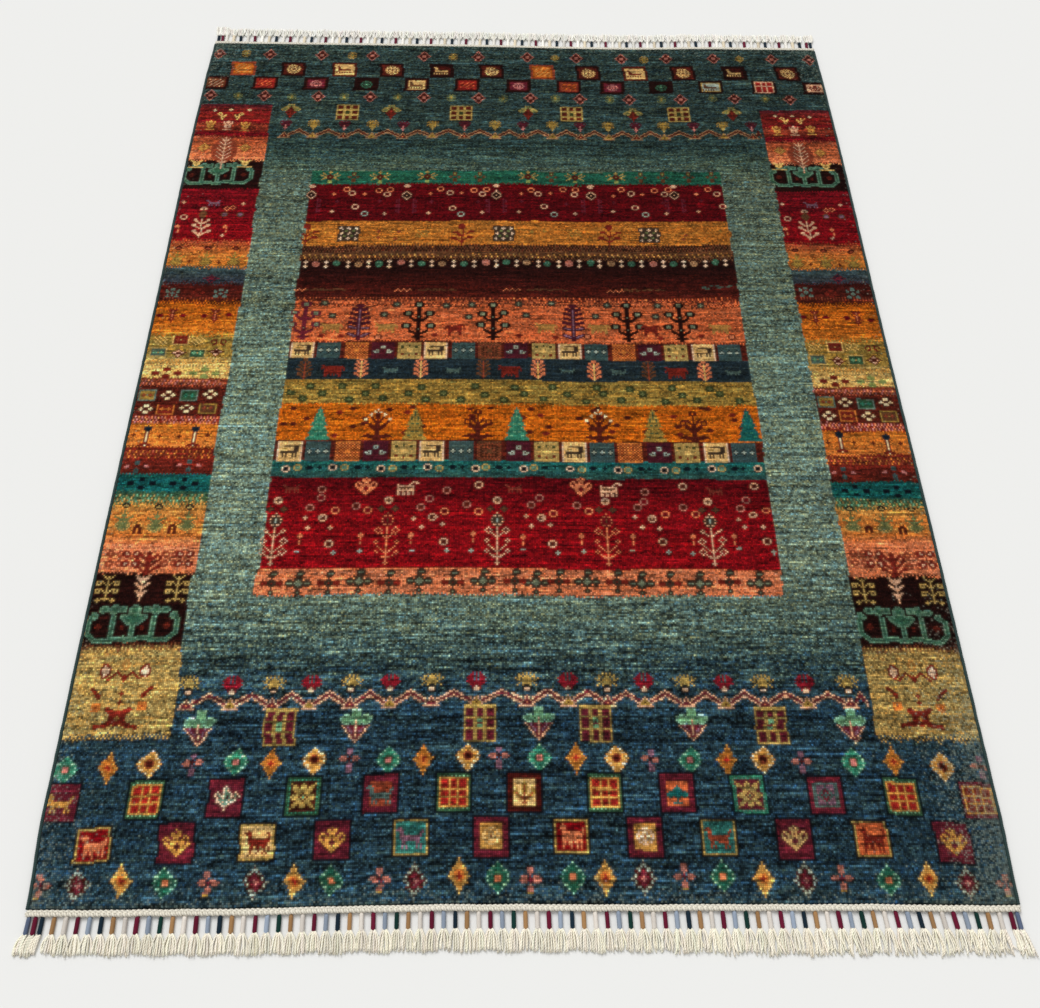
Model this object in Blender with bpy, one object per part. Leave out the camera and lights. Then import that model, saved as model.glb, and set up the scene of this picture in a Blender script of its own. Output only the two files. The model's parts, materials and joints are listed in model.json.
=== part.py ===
"""Hand-knotted tribal rug with overcast sides, plaited ends and yarn-wrapped fringes.

The rug lies flat on the floor. X runs across it, Y runs along it from the near end to the far end,
and Z is up. The origin is on the floor under the middle of the rug. All sizes are in metres.
"""

import math

import bmesh
import bpy

# Driving dimensions of the knotted cloth
PILE_WIDTH = 1.200
PILE_LENGTH = 1.680
PILE_HEIGHT = 0.009
EDGE_HEIGHT = 0.0066
EDGE_ROUND = 0.004
GRID_ACROSS = 20
GRID_ALONG = 28
SWELL_HEIGHT = 0.0007
# The low swells of a rug that lies on a floor
# columns: waves across, waves along, start, all in radians (the first two for each metre)
SWELL_WAVES = (
    (5.1, 2.3, 0.0),
    (-2.9, 3.7, 1.1),
)

# How far the sides and ends stray from a true rectangle, outwards
# columns: share of the length from the near end, left side, right side
SIDE_TABLE = (
    (0.00, 0.0000, 0.0000),
    (0.07, 0.0058, 0.0032),
    (0.30, 0.0074, 0.0042),
    (0.55, 0.0068, 0.0030),
    (0.82, 0.0088, 0.0046),
    (0.93, 0.0070, 0.0034),
    (1.00, 0.0040, 0.0012),
)
# columns: share of the width from the left, near end, far end
END_TABLE = (
    (0.00, 0.0000, 0.0020),
    (0.18, -0.0006, 0.0014),
    (0.42, -0.0050, 0.0006),
    (0.66, -0.0036, -0.0030),
    (0.84, -0.0030, 0.0022),
    (1.00, -0.0008, 0.0024),
)

# Cloth, side cords and end plaits are sewn together and lie this far apart as solids
SEAM_GAP = 0.0003

# Overcast cord along each side
CORD_WIDTH = 0.0056
CORD_HEIGHT = 0.0062
CORD_STEPS = 32
# columns: share of the width from the cloth outwards, share of the height
CORD_PROFILE = (
    (0.12, 0.00),
    (0.88, 0.00),
    (1.00, 0.30),
    (1.00, 0.66),
    (0.78, 1.00),
    (0.22, 1.00),
    (0.00, 0.66),
    (0.00, 0.30),
)

# Plaited cord across each end, from which the fringe comes out
PLAIT_WIDTH = 0.0092
PLAIT_BACK_HEIGHT = 0.0056
PLAIT_RIDGE_HEIGHT = 0.0074
PLAIT_FRONT_HEIGHT = 0.0054
PLAIT_RIDGE_SHARE = 0.45
PLAIT_LUMP = 0.0005
PLAIT_FRONT_WALL = 1

# Fringe: warp ends in bundles, each wrapped in coloured yarn for a while and loose after that
BUNDLES = 87
LEFT_CORNER_BUNDLES = 3
RIGHT_CORNER_BUNDLES = 2
CORNER_PITCH = 0.0080
WRAP_WIDTH = 0.0062
WRAP_LENGTH = 0.0200
LOCK_LENGTH = 0.0270
LOCK_SHOULDER = 0.0060
LOCK_SHARE = 0.86
SHOULDER_SHARE = 0.6
CORNER_FLARE = 0.0030
FIRST_ROOT = 0.0035
# From one bundle to the next the tips sway by a wave: its height, and its radians for each bundle
SIDEWAYS_SWAY = 0.0005
SIDEWAYS_STEP = 0.9
LENGTH_SWAY = 0.0016
LENGTH_STEP = 1.7
# How far the bundles lean to the right by their tips
# columns: share of the width from the left, near end, far end
LEAN_TABLE = (
    (0.00, -0.0010, -0.0030),
    (0.10, 0.0016, -0.0006),
    (0.45, 0.0008, 0.0004),
    (0.75, 0.0014, 0.0010),
    (0.92, 0.0042, 0.0022),
    (1.00, 0.0010, 0.0010),
)
# columns: height, and the top's width as a share of the bottom's
LOCK_SECTIONS = {
    "wrap_end": (0.0054, 0.72),
    "shoulder": (0.0050, 0.80),
    "tip": (0.0036, 0.90),
}

PILE_COLOUR = (0.035, 0.085, 0.095, 1.0)
CORD_COLOUR = (0.030, 0.055, 0.075, 1.0)
FRINGE_COLOUR = (0.680, 0.600, 0.450, 1.0)
PILE_ROUGHNESS = 0.90
CORD_ROUGHNESS = 0.85
FRINGE_ROUGHNESS = 0.80


def lerp(a, b, share):
    return a + (b - a) * share


def smooth_lookup(table, at, column):
    """A table's column at a share, eased from one row to the next."""
    for low, high in zip(table, table[1:]):
        if at <= high[0]:
            t = (at - low[0]) / (high[0] - low[0])
            return lerp(low[column], high[column], t * t * (3 - 2 * t))
    return table[-1][column]


def left_side(share):
    return -PILE_WIDTH / 2 - smooth_lookup(SIDE_TABLE, share, 1)


def right_side(share):
    return PILE_WIDTH / 2 + smooth_lookup(SIDE_TABLE, share, 2)


def near_end(share):
    return -PILE_LENGTH / 2 - smooth_lookup(END_TABLE, share, 1)


def far_end(share):
    return PILE_LENGTH / 2 + smooth_lookup(END_TABLE, share, 2)


def on_cloth(across, along):
    """A point of the cloth's outline grid, from shares of its width and its length."""
    x = lerp(left_side(along), right_side(along), across)
    y = lerp(near_end(across), far_end(across), along)
    return x, y


def pile_top(x, y):
    """The pile's height, with its low swells."""
    waves = [math.sin(across * x + along * y + start) for across, along, start in SWELL_WAVES]
    return PILE_HEIGHT + SWELL_HEIGHT * sum(waves) / len(waves)


def make_material(name, colour, roughness):
    material = bpy.data.materials.new(name)
    material.use_nodes = True
    shader = material.node_tree.nodes["Principled BSDF"]
    shader.inputs["Base Color"].default_value = colour
    shader.inputs["Roughness"].default_value = roughness
    shader.inputs["Metallic"].default_value = 0.0
    material.diffuse_color = colour
    return material


def add_object(name, bm, material):
    bmesh.ops.recalc_face_normals(bm, faces=bm.faces)
    mesh = bpy.data.meshes.new(name)
    bm.to_mesh(mesh)
    bm.free()
    mesh.materials.append(material)
    made = bpy.data.objects.new(name, mesh)
    bpy.context.scene.collection.objects.link(made)
    return made


def grid_shares(count, size):
    """Even shares of a side, with one more line near each end for the rounded edge."""
    edge = EDGE_ROUND / size
    inner = [lerp(edge, 1 - edge, i / count) for i in range(count + 1)]
    return [0.0, *inner, 1.0]


def make_cloth(material):
    """The knotted cloth: one flat slab with a rounded top edge and a flat underside."""
    bm = bmesh.new()
    across = grid_shares(GRID_ACROSS, PILE_WIDTH)
    along = grid_shares(GRID_ALONG, PILE_LENGTH)
    top = []
    for v in along:
        row = []
        for u in across:
            x, y = on_cloth(u, v)
            at_edge = u in (0.0, 1.0) or v in (0.0, 1.0)
            z = EDGE_HEIGHT if at_edge else pile_top(x, y)
            row.append(bm.verts.new((x, y, z)))
        top.append(row)
    for low, high in zip(top, top[1:]):
        for i in range(len(low) - 1):
            bm.faces.new((low[i], low[i + 1], high[i + 1], high[i]))

    near, far = top[0], top[-1]
    right = [row[-1] for row in top[1:-1]]
    left = [row[0] for row in top[1:-1]]
    rim = [*near, *right, *reversed(far), *reversed(left)]
    base = [bm.verts.new((v.co.x, v.co.y, 0.0)) for v in rim]
    for i, upper in enumerate(rim):
        j = (i + 1) % len(rim)
        bm.faces.new((upper, base[i], base[j], rim[j]))
    bm.faces.new(reversed(base))
    return add_object("pile_field", bm, material)


def bridge(bm, low, high):
    """Walls between two rings of as many points."""
    count = len(low)
    for i in range(count):
        j = (i + 1) % count
        bm.faces.new((low[i], low[j], high[j], high[i]))


def make_side_cord(name, side, sign, material):
    """The yarn-wrapped cord along one side: rounded above and flat where it lies on the floor."""
    bm = bmesh.new()
    rings = []
    across = 0.0 if sign < 0 else 1.0
    for step in range(CORD_STEPS + 1):
        share = step / CORD_STEPS
        y = lerp(near_end(across), far_end(across), share)
        inner = side(share) + sign * SEAM_GAP
        ring = [
            bm.verts.new((inner + sign * w * CORD_WIDTH, y, h * CORD_HEIGHT))
            for w, h in CORD_PROFILE
        ]
        rings.append(ring)
    for low, high in zip(rings, rings[1:]):
        bridge(bm, low, high)
    bm.faces.new(rings[0])
    bm.faces.new(reversed(rings[-1]))
    return add_object(name, bm, material)


def bundle_roots(width):
    """Each lock as its left root, its right root and the width of its tip, from the end's left.

    The wraps stand an even pitch apart, and closer at the corners, where a few share one lock.
    """
    corner_steps = LEFT_CORNER_BUNDLES + RIGHT_CORNER_BUNDLES - 2
    span = width - 2 * FIRST_ROOT - WRAP_WIDTH - corner_steps * CORNER_PITCH
    pitch = span / (BUNDLES - 1 - corner_steps)
    left_root = (LEFT_CORNER_BUNDLES - 1) * CORNER_PITCH + WRAP_WIDTH
    right_root = (RIGHT_CORNER_BUNDLES - 1) * CORNER_PITCH + WRAP_WIDTH
    roots = [(FIRST_ROOT, FIRST_ROOT + left_root, left_root + CORNER_FLARE)]
    start = FIRST_ROOT + left_root - WRAP_WIDTH
    for _ in range(BUNDLES - LEFT_CORNER_BUNDLES - RIGHT_CORNER_BUNDLES):
        start += pitch
        roots.append((start, start + WRAP_WIDTH, pitch * LOCK_SHARE))
    start += pitch
    roots.append((start, start + right_root, right_root + CORNER_FLARE))
    return roots


def lock_ring(bm, centre, width, y, section):
    """Four points of a lock: flat on the floor and narrower above."""
    height, top_share = LOCK_SECTIONS[section]
    half, top_half = width / 2, width / 2 * top_share
    corners = (
        (centre - half, 0.0),
        (centre + half, 0.0),
        (centre + top_half, height),
        (centre - top_half, height),
    )
    return [bm.verts.new((x, y, z)) for x, z in corners]


def plait_ring(bm, x, y_back, outwards, lump):
    """Five points of the plait's section: flat below, with a ridge above."""
    y_front = y_back + outwards * PLAIT_WIDTH
    y_ridge = lerp(y_back, y_front, PLAIT_RIDGE_SHARE)
    points = (
        (y_back, 0.0),
        (y_front, 0.0),
        (y_front, PLAIT_FRONT_HEIGHT),
        (y_ridge, PLAIT_RIDGE_HEIGHT + lump),
        (y_back, PLAIT_BACK_HEIGHT),
    )
    return [bm.verts.new((x, y, z)) for y, z in points]


def plait_walls(bm, low, high, with_front):
    """Walls between two sections of the plait. A lock grows out where the front is left open."""
    for i in range(len(low)):
        if i == PLAIT_FRONT_WALL and not with_front:
            continue
        j = (i + 1) % len(low)
        bm.faces.new((low[i], low[j], high[j], high[i]))


def grow_lock(bm, root, outwards, tip_width, lean, reach):
    """One wrapped bundle and its loose lock, drawn out from the plait's open front."""
    x_start, x_stop = root[0].co.x, root[1].co.x
    root_width = x_stop - x_start
    centre = (x_start + x_stop) / 2
    y_root = root[0].co.y
    shoulder_reach = WRAP_LENGTH + LOCK_SHOULDER
    full_reach = WRAP_LENGTH + reach
    # rows: reach from the plait, width, section
    rows = (
        (WRAP_LENGTH, root_width, "wrap_end"),
        (shoulder_reach, lerp(root_width, tip_width, SHOULDER_SHARE), "shoulder"),
        (full_reach, tip_width, "tip"),
    )
    last = root
    for out, width, section in rows:
        x = centre + lean * out / full_reach
        ring = lock_ring(bm, x, width, y_root + outwards * out, section)
        bridge(bm, last, ring)
        last = ring
    bm.faces.new(last)


def make_fringe(name, end, outwards, material):
    """The plait across one end, with the bundles and their locks growing out of it."""
    bm = bmesh.new()
    along, lean_column = (0.0, 1) if outwards < 0 else (1.0, 2)
    left = left_side(along) - SEAM_GAP - CORD_WIDTH
    right = right_side(along) + SEAM_GAP + CORD_WIDTH
    width = right - left

    def ring_at(x, lump):
        share = x / width
        return plait_ring(bm, left + x, end(share) + outwards * SEAM_GAP, outwards, lump)

    last = ring_at(0.0, 0.0)
    bm.faces.new(last)
    for number, (start, stop, tip_width) in enumerate(bundle_roots(width)):
        lump = PLAIT_LUMP * (1 if number % 2 else -1)
        before, after = ring_at(start, lump), ring_at(stop, lump)
        plait_walls(bm, last, before, True)
        plait_walls(bm, before, after, False)
        last = after

        low, high = PLAIT_FRONT_WALL, PLAIT_FRONT_WALL + 1
        root = [before[low], after[low], after[high], before[high]]
        share = (start + stop) / 2 / width
        lean = smooth_lookup(LEAN_TABLE, share, lean_column)
        lean += SIDEWAYS_SWAY * math.sin(SIDEWAYS_STEP * number)
        reach = LOCK_LENGTH + LENGTH_SWAY * math.sin(LENGTH_STEP * number)
        grow_lock(bm, root, outwards, tip_width, lean, reach)
    final = ring_at(width, 0.0)
    plait_walls(bm, last, final, True)
    bm.faces.new(final)
    return add_object(name, bm, material)


def main():
    for old in list(bpy.data.objects):
        bpy.data.objects.remove(old)
    pile = make_material("pile_wool", PILE_COLOUR, PILE_ROUGHNESS)
    cord = make_material("side_cord_wool", CORD_COLOUR, CORD_ROUGHNESS)
    cotton = make_material("warp_cotton", FRINGE_COLOUR, FRINGE_ROUGHNESS)
    make_cloth(pile)
    make_side_cord("selvedge_left", left_side, -1, cord)
    make_side_cord("selvedge_right", right_side, 1, cord)
    make_fringe("fringe_near", near_end, -1, cotton)
    make_fringe("fringe_far", far_end, 1, cotton)


main()
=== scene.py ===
"""The look of the tribal rug: its knots, side cords, plaits, wrapped bundles and tassels.

X runs across the rug, Y along it from the near end to the far end, and Z is up, in metres. The pattern
is worked out in knots, 480 across and 672 along, and each knot is one face of the pile.
"""

import json
import math

import bpy
import numpy as np
from mathutils import Matrix

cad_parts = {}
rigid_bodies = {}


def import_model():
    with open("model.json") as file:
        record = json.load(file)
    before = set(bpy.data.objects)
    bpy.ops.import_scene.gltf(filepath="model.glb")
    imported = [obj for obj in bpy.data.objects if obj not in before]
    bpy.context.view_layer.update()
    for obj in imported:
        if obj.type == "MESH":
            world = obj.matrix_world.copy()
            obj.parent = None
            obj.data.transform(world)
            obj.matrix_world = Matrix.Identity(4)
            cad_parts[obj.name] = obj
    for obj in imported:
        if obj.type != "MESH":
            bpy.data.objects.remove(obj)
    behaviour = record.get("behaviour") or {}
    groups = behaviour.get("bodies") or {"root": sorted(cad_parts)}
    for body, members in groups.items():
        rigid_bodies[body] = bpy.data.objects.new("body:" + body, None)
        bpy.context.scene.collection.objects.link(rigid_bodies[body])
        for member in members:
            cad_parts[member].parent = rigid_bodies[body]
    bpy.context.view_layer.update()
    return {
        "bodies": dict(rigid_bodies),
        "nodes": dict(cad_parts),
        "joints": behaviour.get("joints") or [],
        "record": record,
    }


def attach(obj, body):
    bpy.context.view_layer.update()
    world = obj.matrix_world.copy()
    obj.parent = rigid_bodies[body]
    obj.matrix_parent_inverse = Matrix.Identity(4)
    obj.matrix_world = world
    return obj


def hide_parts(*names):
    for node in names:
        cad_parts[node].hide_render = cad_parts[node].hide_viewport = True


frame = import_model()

SEED = 41
rng = np.random.default_rng(SEED)

# Driving values, the same as the solids'
PILE_WIDTH = 1.200
PILE_LENGTH = 1.680
PILE_HEIGHT = 0.009
EDGE_HEIGHT = 0.0066
EDGE_ROUND = 0.004
SWELL_HEIGHT = 0.0007
SWELL_WAVES = ((5.1, 2.3, 0.0), (-2.9, 3.7, 1.1))
# columns: share of the length from the near end, left side, right side
SIDE_TABLE = (
    (0.00, 0.0000, 0.0000),
    (0.07, 0.0058, 0.0032),
    (0.30, 0.0074, 0.0042),
    (0.55, 0.0068, 0.0030),
    (0.82, 0.0088, 0.0046),
    (0.93, 0.0070, 0.0034),
    (1.00, 0.0040, 0.0012),
)
# columns: share of the width from the left, near end, far end
END_TABLE = (
    (0.00, 0.0000, 0.0020),
    (0.18, -0.0006, 0.0014),
    (0.42, -0.0050, 0.0006),
    (0.66, -0.0036, -0.0030),
    (0.84, -0.0030, 0.0022),
    (1.00, -0.0008, 0.0024),
)
SEAM_GAP = 0.0003
CORD_WIDTH = 0.0056
CORD_HEIGHT = 0.0062
PLAIT_WIDTH = 0.0092
BUNDLES = 87
LEFT_CORNER_BUNDLES = 3
RIGHT_CORNER_BUNDLES = 2
CORNER_PITCH = 0.0080
WRAP_WIDTH = 0.0062
WRAP_HEIGHT = 0.0054
WRAP_LENGTH = 0.0200
LOCK_LENGTH = 0.0270
FIRST_ROOT = 0.0035
# columns: share of the width from the left, near end, far end
LEAN_TABLE = (
    (0.00, -0.0010, -0.0030),
    (0.10, 0.0016, -0.0006),
    (0.45, 0.0008, 0.0004),
    (0.75, 0.0014, 0.0010),
    (0.92, 0.0042, 0.0022),
    (1.00, 0.0010, 0.0010),
)

KNOTS = 480
ROWS = 672
TILES_ACROSS = 3
TILES_ALONG = 4

# Yarn colours, as red, green and blue out of 255
DYES = {
    "ink": (14, 18, 24),
    "indigo": (34, 53, 62),
    "slate": (52, 70, 68),
    "steel": (66, 84, 78),
    "haze": (86, 104, 92),
    "sage": (102, 118, 102),
    "fog": (98, 115, 99),
    "moss": (88, 102, 87),
    "fen": (80, 93, 79),
    "pine": (63, 80, 69),
    "night": (42, 60, 57),
    "fawn": (140, 104, 72),
    "petal": (150, 92, 78),
    "drab": (104, 110, 86),
    "verdure": (74, 92, 58),
    "coal": (28, 38, 42),
    "sea": (42, 72, 66),
    "deep": (40, 54, 51),
    "mist": (138, 146, 130),
    "mint": (132, 176, 146),
    "fern": (98, 142, 104),
    "jade": (46, 108, 84),
    "leaf": (42, 70, 48),
    "lime": (126, 134, 72),
    "emerald": (30, 76, 58),
    "teal": (22, 82, 77),
    "shade": (16, 50, 48),
    "lagoon": (44, 100, 92),
    "crimson": (116, 12, 18),
    "garnet": (98, 13, 21),
    "claret": (78, 9, 14),
    "burgundy": (90, 28, 38),
    "maroon": (58, 18, 14),
    "umber": (74, 26, 18),
    "soot": (30, 12, 10),
    "brick": (106, 32, 23),
    "russet": (108, 44, 34),
    "rust": (126, 56, 36),
    "red": (140, 32, 28),
    "rose": (172, 104, 96),
    "blush": (192, 146, 114),
    "salmon": (196, 110, 72),
    "coral": (180, 88, 50),
    "flame": (166, 82, 18),
    "orange": (176, 96, 30),
    "amber": (182, 102, 44),
    "ochre": (158, 95, 36),
    "gold": (182, 130, 62),
    "straw": (212, 168, 94),
    "olive": (137, 108, 48),
    "khaki": (156, 128, 72),
    "cream": (220, 194, 148),
    "white": (226, 216, 194),
    "brown": (84, 52, 32),
    "mauve": (112, 78, 90),
    "navy": (19, 30, 40),
    "dusk": (46, 48, 54),
    "bottle": (50, 56, 30),
    "lichen": (94, 98, 58),
    "bark": (56, 42, 32),
    "sand": (200, 160, 100),
    "bronze": (158, 112, 56),
    "reed": (82, 114, 92),
    "thicket": (46, 80, 60),
    "lace": (206, 170, 138),
    "hay": (150, 124, 66),
    "wine": (66, 22, 30),
    "scarlet": (112, 22, 32),
}

# Ground of the whole rug before its borders and field
# columns: row, dye
GROUND = (
    (0, "indigo"),
    (114, "indigo"),
    (129, "slate"),
    (141, "steel"),
    (154, "haze"),
    (200, "sage"),
    (345, "fog"),
    (425, "moss"),
    (512, "fen"),
    (532, "pine"),
    (551, "night"),
    (590, "deep"),
    (672, "deep"),
)
# How far knots stray along the ground's table, in rows
# columns: row, stray
GROUND_STRAY = (
    (0, 0),
    (60, 6),
    (112, 13),
    (160, 13),
    (190, 9),
    (500, 7),
    (560, 9),
    (672, 0),
)
# Stripes of both side borders
# columns: first row, dye there, dye at the last row, rows that the stripes mix over at the first row
SIDE_BANDS = (
    (88, "khaki", "khaki", 3),
    (136, "khaki", "maroon", 4),
    (143, "soot", "soot", 2),
    (185, "salmon", "salmon", 1),
    (202, "salmon", "amber", 2),
    (210, "amber", "gold", 1),
    (218, "amber", "gold", 2),
    (232, "verdure", "thicket", 3),
    (241, "teal", "teal", 1),
    (254, "umber", "brick", 1),
    (266, "brick", "brick", 2),
    (274, "amber", "orange", 1),
    (292, "brick", "brick", 1),
    (298, "umber", "umber", 1),
    (322, "rust", "rust", 2),
    (329, "straw", "straw", 1),
    (340, "khaki", "khaki", 2),
    (346, "olive", "olive", 1),
    (366, "orange", "flame", 3),
    (394, "umber", "maroon", 3),
    (411, "dusk", "slate", 2),
    (427, "ochre", "amber", 2),
    (440, "amber", "rust", 3),
    (451, "crimson", "garnet", 5),
    (506, "soot", "soot", 1),
    (536, "salmon", "coral", 2),
    (551, "coral", "rust", 3),
    (562, "garnet", "garnet", 2),
    (567, "brick", "rust", 2),
    (577, "garnet", "brick", 2),
    (584, "brick", "garnet", 2),
    (591, "brick", "wine", 3),
)
SIDE_TOP = 600
# Stripes of the middle field, with the same columns
FIELD_BANDS = (
    (172, "salmon", "salmon", 1),
    (189, "crimson", "crimson", 0),
    (225, "crimson", "claret", 0),
    (252, "sea", "teal", 0),
    (265, "umber", "umber", 0),
    (280, "flame", "flame", 0),
    (309, "olive", "olive", 1),
    (329, "coal", "coal", 0),
    (346, "umber", "umber", 0),
    (361, "coral", "coral", 1),
    (396, "umber", "maroon", 4),
    (411, "maroon", "soot", 3),
    (428, "soot", "soot", 0),
    (436, "brown", "brown", 3),
    (449, "ochre", "ochre", 2),
    (473, "claret", "claret", 0),
    (511, "emerald", "emerald", 1),
)
FIELD_TOP = 525
# Rows of dots in the side borders and in the field
# columns: first row, last row, dyes
SIDE_DOTS = (
    (136, 142, "khaki"),
    (233, 240, "fern khaki"),
    (267, 273, "rust amber"),
    (293, 298, "salmon rose"),
    (323, 328, "salmon rose"),
    (341, 346, "gold"),
    (398, 400, "rust"),
    (449, 453, "rust"),
)
FIELD_DOTS = (
    (396, 401, "coral rust"),
    (437, 441, "bronze brown"),
    (443, 449, "soot maroon"),
)
SIDE_EDGE = 54
FIELD_LEFT = 90
FIELD_RIGHT = 388
RIGHT_BORDER = 426
# How much lower each side border's pattern lies than its table says
# columns: row, drop
NO_DROPS = (
    (0, 0.0),
    (672, 0.0),
)
LEFT_DROPS = (
    (140, 1.1),
    (186, -0.7),
    (207, -1.0),
    (254, 1.0),
    (294, 0.9),
    (326, 0.3),
    (342, 1.8),
    (366, 0.2),
    (410, -0.5),
    (425, -1.0),
    (452, -0.2),
    (506, 0.8),
    (564, 0.1),
    (602, 1.2),
)
RIGHT_DROPS = (
    (134, 2.7),
    (186, 0.0),
    (207, -1.4),
    (236, 2.3),
    (254, 3.3),
    (326, 3.6),
    (342, 4.3),
    (366, 1.5),
    (394, -2.0),
    (410, -1.5),
    (425, 1.6),
    (452, 2.7),
    (506, 2.3),
    (564, 2.4),
    (602, 3.5),
)

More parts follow.
